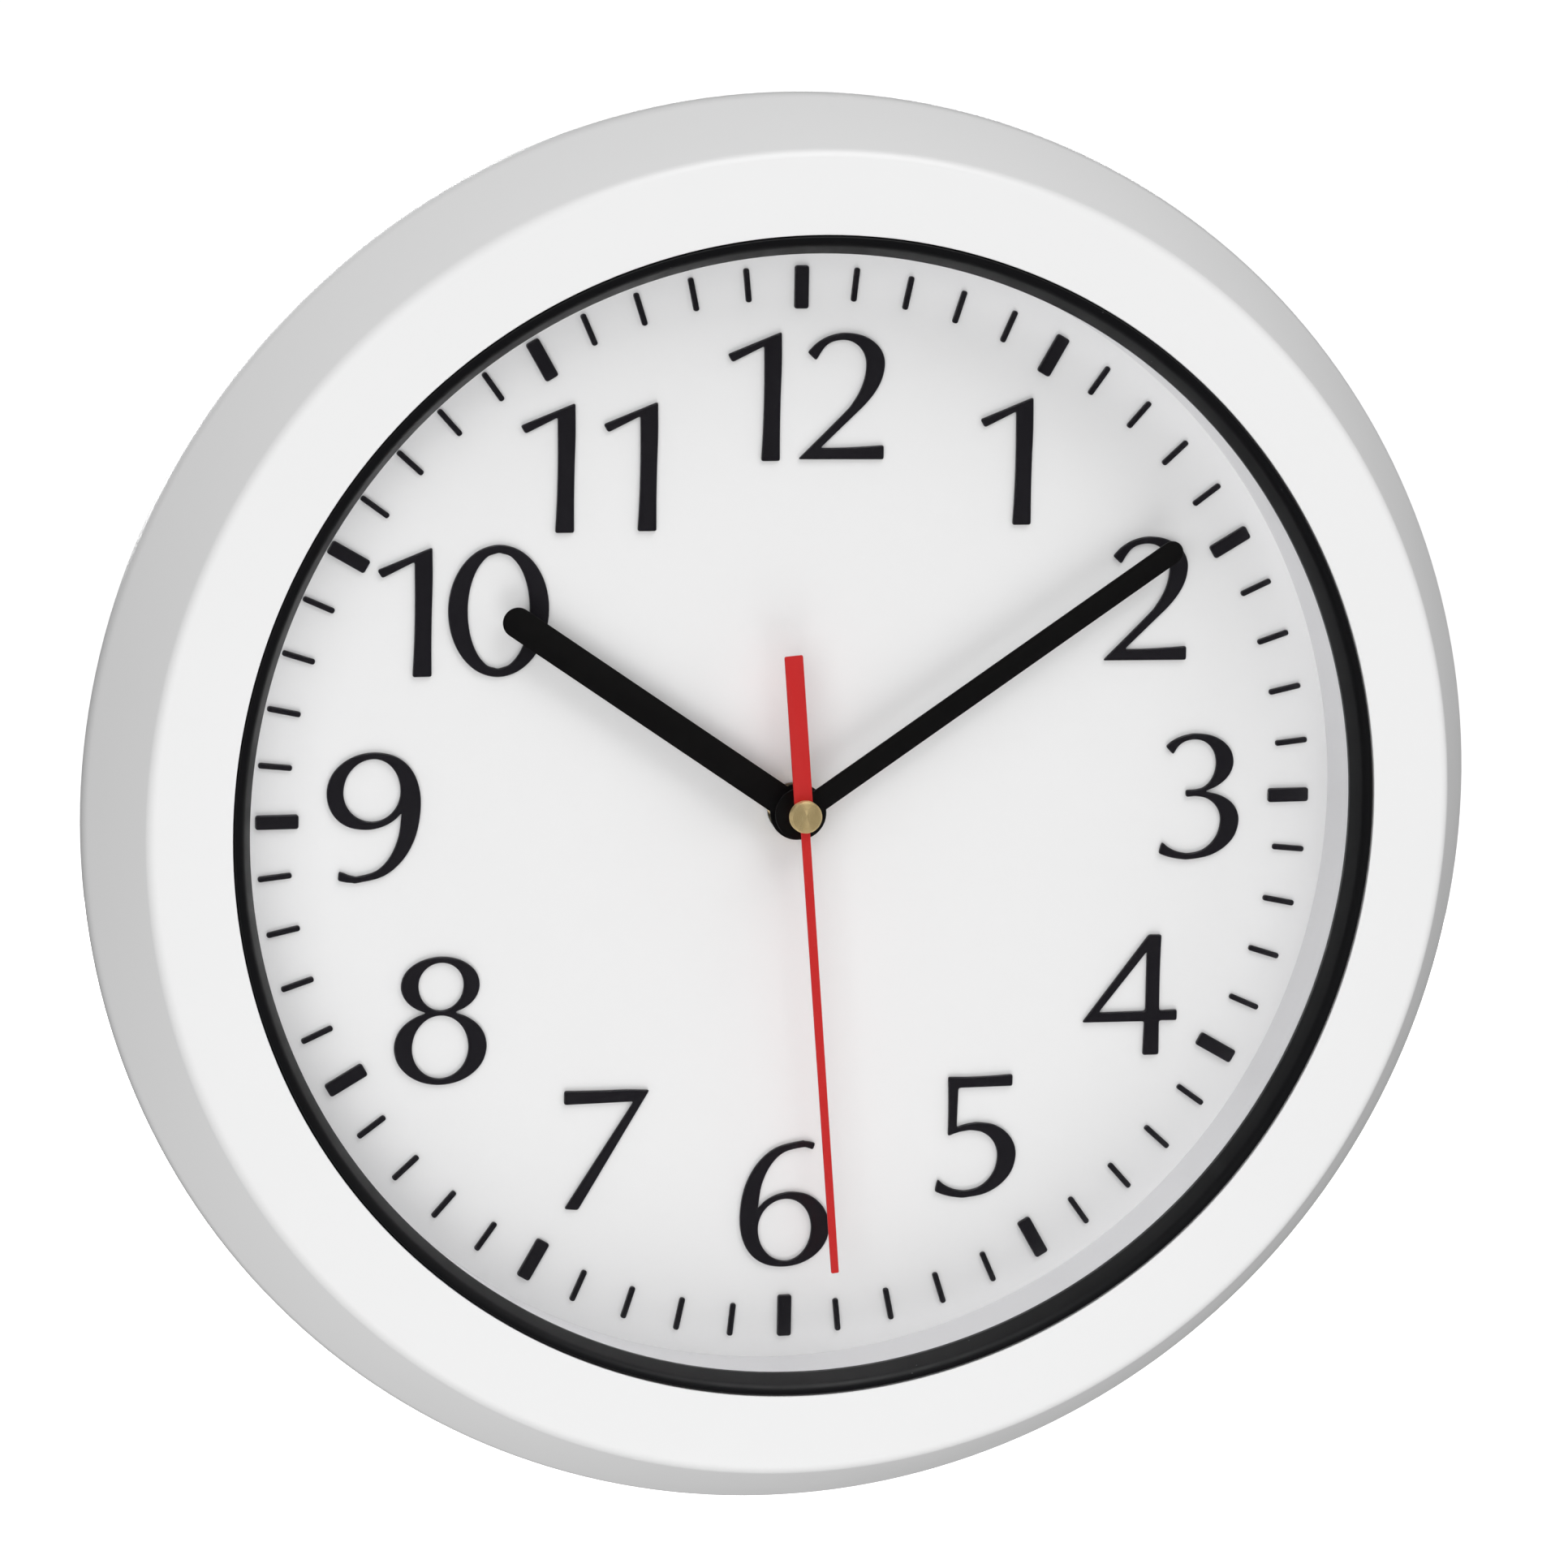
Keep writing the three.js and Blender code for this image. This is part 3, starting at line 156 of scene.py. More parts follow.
def drifting(tree, place, size, low, high, reach=0.2, detail=2.0):
    """A value that drifts from low to high over about size millimetres, as a socket. A smaller
    reach to either side of the noise's middle makes more of it all low or all high."""
    noise_in = {"Vector": place, "Scale": 1 / size, "Detail": detail}
    blotches = add(tree, "ShaderNodeTexNoise", noise_in)
    inputs = {
        "Value": blotches.outputs["Fac"],
        "From Min": 0.5 - reach,
        "From Max": 0.5 + reach,
        "To Min": low,
        "To Max": high,
    }
    return add(tree, "ShaderNodeMapRange", inputs).outputs["Result"]


def grained(tree, place, size, depth, detail=3.0):
    """The normals of a surface grain of a size and depth in millimetres, as a socket."""
    noise_in = {"Vector": place, "Scale": 1 / size, "Detail": detail}
    grain = add(tree, "ShaderNodeTexNoise", noise_in)
    inputs = {"Height": grain.outputs["Fac"], "Distance": depth * MM}
    return add(tree, "ShaderNodeBump", inputs).outputs["Normal"]


# ---------------------------------------------------------------- plastics


def moulded_plastic(name, colours, roughness, grain=1.0, depth=0.0, **even):
    """A moulded plastic: a colour with a faint mottle, a roughness that drifts by a few
    hundredths and the grain of the tool's finish, if it has any depth. Even inputs are the
    same all over."""
    material, tree, shader = new_material(name)
    place = millimetres(tree)
    inputs = {
        "Base Color": mottled(tree, place, 18.0, *colours),
        "Roughness": drifting(tree, place, 12.0, roughness - 0.015, roughness + 0.015, reach=0.3),
    }
    if depth > 0:
        inputs["Normal"] = grained(tree, place, grain, depth)
    inputs.update({key.replace("_", " "): value for key, value in even.items()})
    feed(tree, shader, inputs)
    return material


def glossy_white_abs():
    """Moulded ABS with a polished tool: bright white, smooth, with soft clear reflections."""
    return moulded_plastic("glossy_white_abs", ("#F4F4F4", "#F3F3F3"), 0.3)


def satin_white_abs():
    """Moulded ABS from a finely blasted tool: white with a broad dull shine."""
    return moulded_plastic("satin_white_abs", ("#EEEEEC", "#EAEAE9"), 0.45, 0.5, 0.01)


def white_polypropylene():
    """Moulded polypropylene: slightly waxy and translucent white."""
    colours = ("#EFEFEA", "#E9E9E4")
    return moulded_plastic("white_polypropylene", colours, 0.4, 1.2, 0.01, Subsurface_Weight=0.1)


def grey_styrene():
    """Moulded polystyrene, light grey and satin, with no visible grain."""
    return moulded_plastic("grey_styrene", ("#EEEEF0", "#ECECEE"), 0.5, 0.8, 0.002)


def black_numeral_abs():
    """Moulded black ABS, semi-gloss, so its rounded edges catch a thin line of light."""
    return moulded_plastic("black_numeral_abs", ("#1C1A1F", "#201E23"), 0.38, 0.9, 0.003)


def textured_black_abs():
    """Black ABS from a spark-eroded tool: dark grey with an even sparkle of fine pits."""
    return moulded_plastic("textured_black_abs", ("#242527", "#2A2B2D"), 0.62, 0.35, 0.03)


def natural_acetal():
    """Natural acetal of small gears: milky off-white, a little see-through and waxy."""
    colours = ("#E9E4D4", "#E3DDCB")
    return moulded_plastic("natural_acetal", colours, 0.4, 0.6, 0.004, Subsurface_Weight=0.15)


def moulded_nitrile():
    """Moulded nitrile rubber: matt charcoal with a dusty bloom."""
    return moulded_plastic("moulded_nitrile", ("#1A1A1A", "#242322"), 0.85, 0.5, 0.02)


def matt_white_dial_paint():
    """Matt white paint on the dial: smooth, with hardly any shine and a tone that drifts by
    less than one part in a hundred."""
    return moulded_plastic("matt_white_dial_paint", ("#FAFAFA", "#F9F9F9"), 0.75)


def satin_black_abs_ring():
    """Satin black ABS of the ring round the glass: near black with a broad soft highlight, a
    fine moulded grain and a few pale specks of dust."""
    material, tree, shader = new_material("satin_black_abs_ring")
    place = millimetres(tree)
    specks = add(tree, "ShaderNodeTexVoronoi", {"Vector": place, "Scale": 0.22})
    near_speck = {"Value": specks.outputs["Distance"], "From Min": 0.0, "From Max": 0.035}
    near_speck.update({"To Min": 0.75, "To Max": 0.0})
    dust = add(tree, "ShaderNodeMapRange", near_speck).outputs["Result"]
    dusty_in = {0: dust, 6: linear("#131315"), 7: linear("#8C8C90")}
    dusty = add(tree, "ShaderNodeMix", dusty_in, data_type="RGBA")
    inputs = {
        "Base Color": dusty.outputs[2],
        "Roughness": drifting(tree, place, 5.0, 0.41, 0.49, detail=3.0),
        "Normal": grained(tree, place, 0.5, 0.004),
        "Specular IOR Level": 0.4,
    }
    feed(tree, shader, inputs)
    return material


# ---------------------------------------------------------------- lacquers and metals


def lacquer(name, colours, roughness, shine):
    """Sprayed lacquer on sheet aluminium: even colour and a fine spray grain."""
    material, tree, shader = new_material(name)
    place = millimetres(tree)
    inputs = {
        "Base Color": mottled(tree, place, 9.0, *colours),
        "Roughness": drifting(tree, place, 2.0, roughness - 0.04, roughness + 0.04, detail=3.0),
        "Normal": grained(tree, place, 0.25, 0.004),
        "Specular IOR Level": shine,
    }
    feed(tree, shader, inputs)
    return material


def matt_black_lacquer():
    """Matt black lacquer of the hour and minute hands."""
    return lacquer("matt_black_lacquer", ("#0D0C0D", "#100F0F"), 0.6, 0.25)


def satin_red_lacquer():
    """Satin red lacquer of the second hand."""
    return lacquer("satin_red_lacquer", ("#D22826", "#CC2525"), 0.5, 0.4)


def turned_brass():
    """Brass faced on a lathe: fine rings round its axis that throw fans of light, pale gold
    where they face the lamps and brown between."""
    material, tree, shader = new_material("turned_brass")
    place = millimetres(tree, (0, 0, AXIS_HEIGHT))
    outwards = add(tree, "ShaderNodeVectorMath", {0: place, 1: (1, 0, 1)}, operation="MULTIPLY")
    rings_in = {"Vector": place, "Scale": 1.1, "Distortion": 0.4}
    rings = add(tree, "ShaderNodeTexWave", rings_in, wave_type="RINGS", rings_direction="Y")
    raised = add(tree, "ShaderNodeBump", {"Height": rings.outputs["Fac"], "Distance": 0.03 * MM})
    inputs = {
        "Base Color": mottled(tree, place, 1.5, "#F4DCA4", "#E2C88E"),
        "Metallic": 0.6,
        "Roughness": 0.42,
        "Anisotropic": 0.9,
        "Tangent": outwards.outputs["Vector"],
        "Normal": raised.outputs["Normal"],
    }
    feed(tree, shader, inputs)
    return material


def zinc_plated_steel():
    """Bright zinc plating on steel: pale grey, with faint rolling lines and soft stains."""
    material, tree, shader = new_material("zinc_plated_steel")
    rolled = millimetres(tree, stretch=(1, 1, 12))
    inputs = {
        "Base Color": mottled(tree, millimetres(tree), 7.0, "#C3C5C7", "#ADAFB0"),
        "Metallic": 1.0,
        "Roughness": drifting(tree, rolled, 6.0, 0.26, 0.44, detail=3.0),
        "Normal": grained(tree, rolled, 6.0, 0.01),
    }
    feed(tree, shader, inputs)
    return material


def enamelled_copper():
    """A winding of enamelled copper, reddish gold with a ridge for each turn, darker in the
    grooves between turns as painted shade and lighter on each crest as a painted highlight,
    between bobbin flanges of natural nylon on a bright iron core."""
    material, tree, shader = new_material("enamelled_copper")
    low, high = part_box("coil")
    middle = (low.x + high.x) / 2 / MM
    winding = position_mask(tree, 0, middle - 9.5, middle + 9.5)
    bobbin = position_mask(tree, 0, middle - 10.5, middle + 10.5)
    turns_in = {"Vector": millimetres(tree), "Scale": 0.9}
    turns = add(tree, "ShaderNodeTexWave", turns_in, wave_type="BANDS", bands_direction="X")
    ridge = turns.outputs["Fac"]
    # The winding's colour follows the ridges: dark in the grooves between turns is painted shade,
    # light on each crest is a painted highlight.
    painted_groove_shade_in = {0: ridge, 6: linear("#8A4A20"), 7: linear("#C9783A")}
    winding_painted_shade = add(tree, "ShaderNodeMix", painted_groove_shade_in, data_type="RGBA")
    ends_in = {0: bobbin, 6: linear("#A9ACAF"), 7: linear("#DAD6C6")}
    ends = add(tree, "ShaderNodeMix", ends_in, data_type="RGBA")
    whole_in = {0: winding, 6: ends.outputs[2], 7: winding_painted_shade.outputs[2]}
    whole = add(tree, "ShaderNodeMix", whole_in, data_type="RGBA")
    metallic = add(tree, "ShaderNodeMapRange", {"Value": winding, "To Min": 0.25, "To Max": 0.75})
    raised = add(tree, "ShaderNodeBump", {"Height": ridge, "Distance": 0.08 * MM})
    inputs = {
        "Base Color": whole.outputs[2],
        "Metallic": metallic.outputs["Result"],
        "Roughness": 0.3,
        "Normal": raised.outputs["Normal"],
    }
    feed(tree, shader, inputs)
    return material


# ---------------------------------------------------------------- glass and the rest


def clear_acrylic():
    """Polished clear acrylic: seen through, with a weak mirror on each face that grows
    towards the edge."""
    material, tree, shader = new_material("clear_acrylic")
    tree.nodes.remove(shader)
    smear = drifting(tree, millimetres(tree), 30.0, 0.0, 0.04, reach=0.15)
    white = (1, 1, 1, 1)
    mirror = add(tree, "ShaderNodeBsdfGlossy", {"Roughness": smear, "Color": white})
    through = add(tree, "ShaderNodeBsdfTransparent", {"Color": white})
    facing = add(tree, "ShaderNodeLayerWeight", {"Blend": 0.5})
    glancing = add(tree, "ShaderNodeMath", {0: facing.outputs["Facing"], 1: 5.0}, operation="POWER")
    share_in = {"Value": glancing.outputs[0], "To Min": 0.03, "To Max": 0.8}
    share = add(tree, "ShaderNodeMapRange", share_in)
    mix_in = {0: share.outputs["Result"], 1: through.outputs[0], 2: mirror.outputs[0]}
    mix = add(tree, "ShaderNodeMixShader", mix_in)
    feed(tree, tree.nodes["Material Output"], {"Surface": mix.outputs[0]})
    return material


def position_mask(tree, axis, low, high):
    """1 between two places along an axis, in millimetres, and 0 elsewhere, as a socket."""
    place = add(tree, "ShaderNodeSeparateXYZ", {"Vector": millimetres(tree)}).outputs[axis]
    above = add(tree, "ShaderNodeMath", {0: place, 1: low}, operation="GREATER_THAN")
    below = add(tree, "ShaderNodeMath", {0: place, 1: high}, operation="LESS_THAN")
    both_in = {0: above.outputs[0], 1: below.outputs[0]}
    return add(tree, "ShaderNodeMath", both_in, operation="MULTIPLY").outputs[0]


def bonded_ferrite():
    """Plastic-bonded ferrite of the rotor's magnet, dark grey and granular, on an acetal
    pinion."""
    material, tree, shader = new_material("bonded_ferrite")
    place = millimetres(tree)
    low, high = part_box("stator")
    magnet = position_mask(tree, 1, low.y / MM - 1.3, high.y / MM + 1.3)
    grains = mottled(tree, place, 0.3, "#3E3F42", "#56575A")
    parts = add(tree, "ShaderNodeMix", {0: magnet, 6: linear("#E6E0CF"), 7: grains}, data_type="RGBA")
    inputs = {
        "Base Color": parts.outputs[2],
        "Roughness": 0.55,
        "Normal": grained(tree, place, 0.3, 0.02, detail=2.0),
    }
    feed(tree, shader, inputs)
    return material


def green_solder_mask():
    """Glass-fibre board under green solder mask: a glossy green with lighter tracks."""
    material, tree, shader = new_material("green_solder_mask")
    tracks_in = {
        "Vector": millimetres(tree, stretch=(0.5, 0.5, 0.5)),
        "Color1": linear("#235A37"),
        "Color2": linear("#2A6540"),
        "Mortar": linear("#3E8A58"),
        "Scale": 0.6,
    }
    tracks = add(tree, "ShaderNodeTexBrick", tracks_in)
    cloud = add(tree, "ShaderNodeTexNoise", {"Vector": millimetres(tree), "Scale": 1 / 4.0})
    clouded_in = {0: cloud.outputs["Fac"], 6: tracks.outputs["Color"], 7: linear("#2C6A43")}
    clouded = add(tree, "ShaderNodeMix", clouded_in, data_type="RGBA")
    raised = add(tree, "ShaderNodeBump", {"Height": tracks.outputs["Fac"], "Distance": 0.03 * MM})
    inputs = {
        "Base Color": clouded.outputs[2],
        "Roughness": 0.35,
        "Normal": raised.outputs["Normal"],
    }
    feed(tree, shader, inputs)
    return material


def printed_sleeve():
    """The shrunk PVC sleeve of a dry cell: glossy dark blue with a copper-coloured band at its
    positive end, over bright steel ends."""
    material, tree, shader = new_material("printed_sleeve")
    low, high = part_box("battery_cell")
    band = position_mask(tree, 0, high.x / MM - 16.0, high.x / MM - 1.9)
    sleeve = position_mask(tree, 0, low.x / MM + 0.5, high.x / MM - 1.9)
    scuffed = millimetres(tree, stretch=(0.3, 1, 1))
    print_in = {0: band, 6: linear("#2B4663"), 7: linear("#B67F4A")}
    printed = add(tree, "ShaderNodeMix", print_in, data_type="RGBA")
    whole_in = {0: sleeve, 6: linear("#B9BBBD"), 7: printed.outputs[2]}
    whole = add(tree, "ShaderNodeMix", whole_in, data_type="RGBA")
    metallic = add(tree, "ShaderNodeMapRange", {"Value": sleeve, "To Min": 1.0, "To Max": 0.0})
    inputs = {
        "Base Color": whole.outputs[2],
        "Metallic": metallic.outputs["Result"],
        "Roughness": drifting(tree, scuffed, 2.5, 0.18, 0.34, detail=3.0),
        "Normal": grained(tree, scuffed, 2.5, 0.01),
    }
    feed(tree, shader, inputs)
    return material


def pale_paper():
    """Seamless pale background paper, very finely fibrous, lit from below as on a light
    table."""
    material, tree, shader = new_material("pale_paper")
    inputs = {
        "Base Color": mottled(tree, millimetres(tree), 3.0, "#FAFAFA", "#F6F6F6"),
        "Roughness": 0.9,
        "Emission Color": linear("#FFFFFF"),
        "Emission Strength": 0.75,
    }
    feed(tree, shader, inputs)
    return material


# ---------------------------------------------------------------- mesh tools


def arc(centre, radius, start, end, steps):
    """Points of an arc in degrees, both ends included."""
    angles = [math.radians(start + (end - start) * i / steps) for i in range(steps + 1)]
    return [(centre[0] + radius * math.cos(a), centre[1] + radius * math.sin(a)) for a in angles]


def rounded(outline, rounding, steps=4):
    """A closed outline with each corner named in rounding ({index: radius}) made an arc."""
    points = []
    for i, corner in enumerate(outline):
        if i not in rounding:
            points.append(corner)
            continue
        here = Vector(corner)
        to_last = (Vector(outline[i - 1]) - here).normalized()
        to_next = (Vector(outline[(i + 1) % len(outline)]) - here).normalized()
        half = to_last.angle(to_next) / 2
        centre = here + (to_last + to_next).normalized() * rounding[i] / math.sin(half)
        first = here + to_last * rounding[i] / math.tan(half)
        last = here + to_next * rounding[i] / math.tan(half)
        turn = (first - centre).angle_signed(last - centre)
        for step in range(steps + 1):
            spoke = (first - centre).copy()
            spoke.rotate(Matrix.Rotation(-turn * step / steps, 2))
            points.append(tuple(centre + spoke))
    return points


def finish_mesh(name, mesh_data, material, sharp_angle=30.0):
    """Welds a mesh, turns its faces outwards, smooths it and makes the piece."""
    shape = bmesh.new()
    shape.from_mesh(mesh_data)
    bmesh.ops.remove_doubles(shape, verts=shape.verts, dist=0.002 * MM)
    bmesh.ops.recalc_face_normals(shape, faces=shape.faces)
    shape.to_mesh(mesh_data)
    shape.free()
    for polygon in mesh_data.polygons:
        polygon.use_smooth = True
    mesh_data.set_sharp_from_angle(angle=math.radians(sharp_angle))
    if material:
        mesh_data.materials.clear()
        mesh_data.materials.append(material)
    mesh_data.name = name
    piece = bpy.data.objects.new(name, mesh_data)
    bpy.context.scene.collection.objects.link(piece)
    return piece


def lathe(outline, sides, centre=(0.0, 0.0), along_x=False):
    """A solid turned from a closed outline of (radius, depth) points, in millimetres. It turns
    round the hands' axis or a parallel one, or round a level axis across the clock."""
    mesh_data = bpy.data.meshes.new("turned")
    vertices = []
    for side in range(sides):
        angle = 2 * math.pi * side / sides
        for radius, depth in outline:
            level, upright = radius * math.cos(angle), radius * math.sin(angle)
            if along_x:
                vertices.append(at(depth, centre[0] + upright, centre[1] + level))
            else:
                vertices.append(at(centre[0] + level, centre[1] + upright, depth))
    count = len(outline)
    faces = []
    for side in range(sides):
        after = (side + 1) % sides
        for i in range(count):
            j = (i + 1) % count
            if outline[i][0] == 0 and outline[j][0] == 0:
                continue
            corners = [side * count + i, side * count + j, after * count + j, after * count + i]
            if outline[i][0] == 0:
                corners = corners[:3]
            elif outline[j][0] == 0:
                corners = [corners[0], corners[1], corners[3]]
            faces.append(corners)
    mesh_data.from_pydata(vertices, [], faces)
    return mesh_data


def joined(*meshes):
    """One mesh of several."""
    shape = bmesh.new()
    for mesh_data in meshes:
        shape.from_mesh(mesh_data)
    whole = bpy.data.meshes.new("joined")
    shape.to_mesh(whole)
    shape.free()
    return whole


def plain_mesh(source):
    """A plain mesh of an object with its curve or modifiers worked out."""
    source.data.update_tag()
    bpy.context.view_layer.update()
    graph = bpy.context.evaluated_depsgraph_get()
    return bpy.data.meshes.new_from_object(source.evaluated_get(graph))


def plate(loops, back, front, edge):
    """A flat plate from closed loops of (across, up) points, in millimetres, with rounded edges
    of radius edge. The first loop is the outside and the rest are holes."""
    curve = bpy.data.curves.new("plate", "CURVE")
    curve.dimensions = "2D"
    curve.fill_mode = "BOTH"
    curve.extrude = (front - back) / 2 - edge
    curve.bevel_depth = edge
    curve.bevel_resolution = 2
    curve.offset = -edge
    for loop in loops:
        spline = curve.splines.new("POLY")
        spline.points.add(len(loop) - 1)
        for point, (x, y) in zip(spline.points, loop):
            point.co = (x, y, 0.0, 1.0)
        spline.use_cyclic_u = True
    holder = bpy.data.objects.new("plate", curve)
    bpy.context.scene.collection.objects.link(holder)
    mesh_data = plain_mesh(holder)
    bpy.data.objects.remove(holder)
    middle = (front + back) / 2
    stand_up = Matrix(((1, 0, 0, 0), (0, 0, -1, -middle), (0, 1, 0, AXIS_HEIGHT), (0, 0, 0, 1)))
    mesh_data.transform(Matrix.Scale(MM, 4) @ stand_up)
    return mesh_data


def circle(radius, sides, x=0.0, y=0.0):
    """A closed circle of points."""
    return arc((x, y), radius, 0.0, 360.0, sides)[:-1]


def rounded_box(width, height, corner, x=0.0, y=0.0, steps=6):
    """A closed rectangle with round corners."""
    points = []
    places = ((1, -1, -90.0), (1, 1, 0.0), (-1, 1, 90.0), (-1, -1, 180.0))
    for across, up, start in places:
        centre = (x + across * (width / 2 - corner), y + up * (height / 2 - corner))
        points += arc(centre, corner, start, start + 90.0, steps)
    return points


def turned_clockwise(loops, degrees):
    """Loops turned clockwise round the hands' axis."""
    angle = math.radians(degrees)
    c, s = math.cos(angle), math.sin(angle)
    return [[(x * c + y * s, y * c - x * s) for x, y in loop] for loop in loops]


# ---------------------------------------------------------------- repeats by Geometry Nodes


def ring_pattern_tree():
    """A node tree that repeats its geometry round the hands' axis. It may leave some out."""
    tree = bpy.data.node_groups.new("ring_pattern", "GeometryNodeTree")
    sockets = (
        ("Geometry", "INPUT", "NodeSocketGeometry"),
        ("Count", "INPUT", "NodeSocketInt"),
        ("Start Angle", "INPUT", "NodeSocketFloat"),
        ("Leave Out Every", "INPUT", "NodeSocketInt"),
        ("Axis Place", "INPUT", "NodeSocketVector"),
        ("Finish", "INPUT", "NodeSocketMaterial"),
        ("Geometry", "OUTPUT", "NodeSocketGeometry"),
    )
    for name, direction, kind in sockets:
        tree.interface.new_socket(name, in_out=direction, socket_type=kind)
    given = add(tree, "NodeGroupInput").outputs
    points_in = {"Count": given["Count"], "Position": given["Axis Place"]}
    points = add(tree, "GeometryNodePoints", points_in)
    index = add(tree, "GeometryNodeInputIndex").outputs[0]
    pitch = add(tree, "ShaderNodeMath", {0: 2 * math.pi, 1: given["Count"]}, operation="DIVIDE")
    angle = add(tree, "ShaderNodeMath", {0: index, 1: pitch.outputs[0]}, operation="MULTIPLY")
    turned_in = {0: angle.outputs[0], 1: given["Start Angle"]}
    turned = add(tree, "ShaderNodeMath", turned_in, operation="ADD")
    turn = add(tree, "ShaderNodeCombineXYZ", {"Y": turned.outputs[0]})
    left_out = given["Leave Out Every"]
    step = add(tree, "ShaderNodeMath", {0: index, 1: left_out}, operation="MODULO")
    none = add(tree, "ShaderNodeMath", {0: left_out, 1: 2.0}, operation="LESS_THAN")
    keep_in = {0: step.outputs[0], 1: none.outputs[0]}
    keep = add(tree, "ShaderNodeMath", keep_in, operation="MAXIMUM")
    copies_in = {
        "Points": points.outputs[0],
        "Instance": given["Geometry"],
        "Rotation": turn.outputs[0],
        "Selection": keep.outputs[0],
    }
    copies = add(tree, "GeometryNodeInstanceOnPoints", copies_in)
    real = add(tree, "GeometryNodeRealizeInstances", {"Geometry": copies.outputs[0]})
    painted_in = {"Geometry": real.outputs[0], "Material": given["Finish"]}
    painted = add(tree, "GeometryNodeSetMaterial", painted_in)
    add(tree, "NodeGroupOutput", {"Geometry": painted.outputs[0]})
    return tree


def round_the_axis(mesh_data, tree, count, material, start=0.0, leave_out_every=1):
    """A mesh repeated round the hands' axis, from one that stands at twelve o'clock."""
    mesh_data.transform(Matrix.Translation(-at(0, 0, 0)))
    holder = bpy.data.objects.new("pattern", mesh_data)
    bpy.context.scene.collection.objects.link(holder)
    modifier = holder.modifiers.new("pattern", "NODES")
    modifier.node_group = tree
    values = {
        "Count": count,
        "Start Angle": math.radians(start),
        "Leave Out Every": leave_out_every,
        "Axis Place": tuple(at(0, 0, 0)),
        "Finish": material,
    }
    for socket in tree.interface.items_tree:
        if socket.in_out == "INPUT" and socket.name in values:
            modifier[socket.identifier] = values[socket.name]
    whole = plain_mesh(holder)
    bpy.data.objects.remove(holder)
    return whole


# ---------------------------------------------------------------- case, ring and glass

CASE_WALL = 2.5
WIDEST_ROUND = 8.0
WIDEST_DEPTH = DIAL_FRONT - 2.8
SIDE_SLOPE = 29.0
REAR_SLOPE = 28.0
FACE_ROUND = 3.0
FACE_SLOPE = 5.5
RING_OUTER = 121.9
RING_INNER = 118.1
RING_SLANT = 4.0
RING_FLANGE = 3.0
RING_CREST = 1.6  # width of the ring's flat front edge, before it is rounded
WALL_INNER = 118.9
WALL_THICKNESS = 1.5
GAP = 0.3
BOSS_RADIUS = 4.0
BOSS_BORE = 1.6
BOSS_FRONT = 38.6  # inside the case's front wall
FINE_SIDES = 240


def case_face(inset, steps):
    """Outline of the case's outer face moved inwards by inset, from its rear edge to its lip."""
    roll_centre = (CASE_RADIUS - WIDEST_ROUND, WIDEST_DEPTH)
    roll = arc(roll_centre, WIDEST_ROUND - inset, -REAR_SLOPE, SIDE_SLOPE, steps)
    rear_edge = (roll[0][0] - roll[0][1] * math.tan(math.radians(REAR_SLOPE)), 0.0)
    side = Vector((math.cos(math.radians(SIDE_SLOPE)), math.sin(math.radians(SIDE_SLOPE))))
    face = Vector((math.sin(math.radians(FACE_SLOPE)), math.cos(math.radians(FACE_SLOPE))))
    side_reach = side.dot(Vector(roll_centre)) + WIDEST_ROUND - FACE_ROUND
    face_reach = face.dot(Vector((RING_OUTER, RING_FRONT))) - FACE_ROUND
    spread_out = side.x * face.y - side.y * face.x
    edge_centre = (
        (side_reach * face.y - side.y * face_reach) / spread_out,
        (side.x * face_reach - side_reach * face.x) / spread_out,
    )
    edge = arc(edge_centre, FACE_ROUND - inset, SIDE_SLOPE, 90.0 - FACE_SLOPE, steps)
    lip_radius = RING_OUTER + GAP
    lip = (lip_radius, RING_FRONT - GAP * math.tan(math.radians(FACE_SLOPE)) - inset)
    return [rear_edge, *roll, *edge, lip]


def make_case(material):
    outside = case_face(0.0, 12)
    inside = case_face(CASE_WALL, 6)
    outline = outside + inside[::-1]
    last = len(outside) - 1
    outline = rounded(outline, {0: 0.5, last: 0.25, last + 1: 0.4, len(outline) - 1: 0.5})
    shell = lathe(outline, FINE_SIDES)
    boss_back = COVER_FRONT + GAP
    boss = [
        (BOSS_BORE, boss_back),
        (BOSS_RADIUS, boss_back),
        (BOSS_RADIUS, BOSS_FRONT),
        (BOSS_BORE, BOSS_FRONT),
    ]
    boss = rounded(boss, {1: 0.3})
    bosses = [lathe(boss, 24, (x, y - AXIS_HEIGHT)) for x, y in map(middle_of, COVER_SCREWS)]
    return finish_mesh("case", joined(shell, *bosses), material, 25.0)


def make_trim_ring(material):
    back = depth_range("trim_ring")[0]
    flange_front = case_face(CASE_WALL, 4)[-1][1] - GAP
    outline = [
        (RING_INNER, back),
        (RING_OUTER + RING_FLANGE, back),
        (RING_OUTER + RING_FLANGE, flange_front),
        (RING_OUTER, flange_front),
        (RING_OUTER, RING_FRONT),
        (RING_OUTER - RING_CREST, RING_FRONT),
        (RING_INNER, RING_FRONT - RING_SLANT),
    ]
    outline = rounded(outline, {4: 0.45, 5: 2.4, 6: 0.7}, 6)
    return finish_mesh("trim_ring_fine", lathe(outline, FINE_SIDES), material, 40.0)


def make_lens(material):
    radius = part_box("lens")[1].x / MM
    outline = [(0, LENS_BACK), (radius, LENS_BACK), (radius, LENS_FRONT), (0, LENS_FRONT)]
    outline = rounded(outline, {1: 0.3, 2: 0.3}, 3)
    return finish_mesh("lens_fine", lathe(outline, FINE_SIDES), material, 25.0)


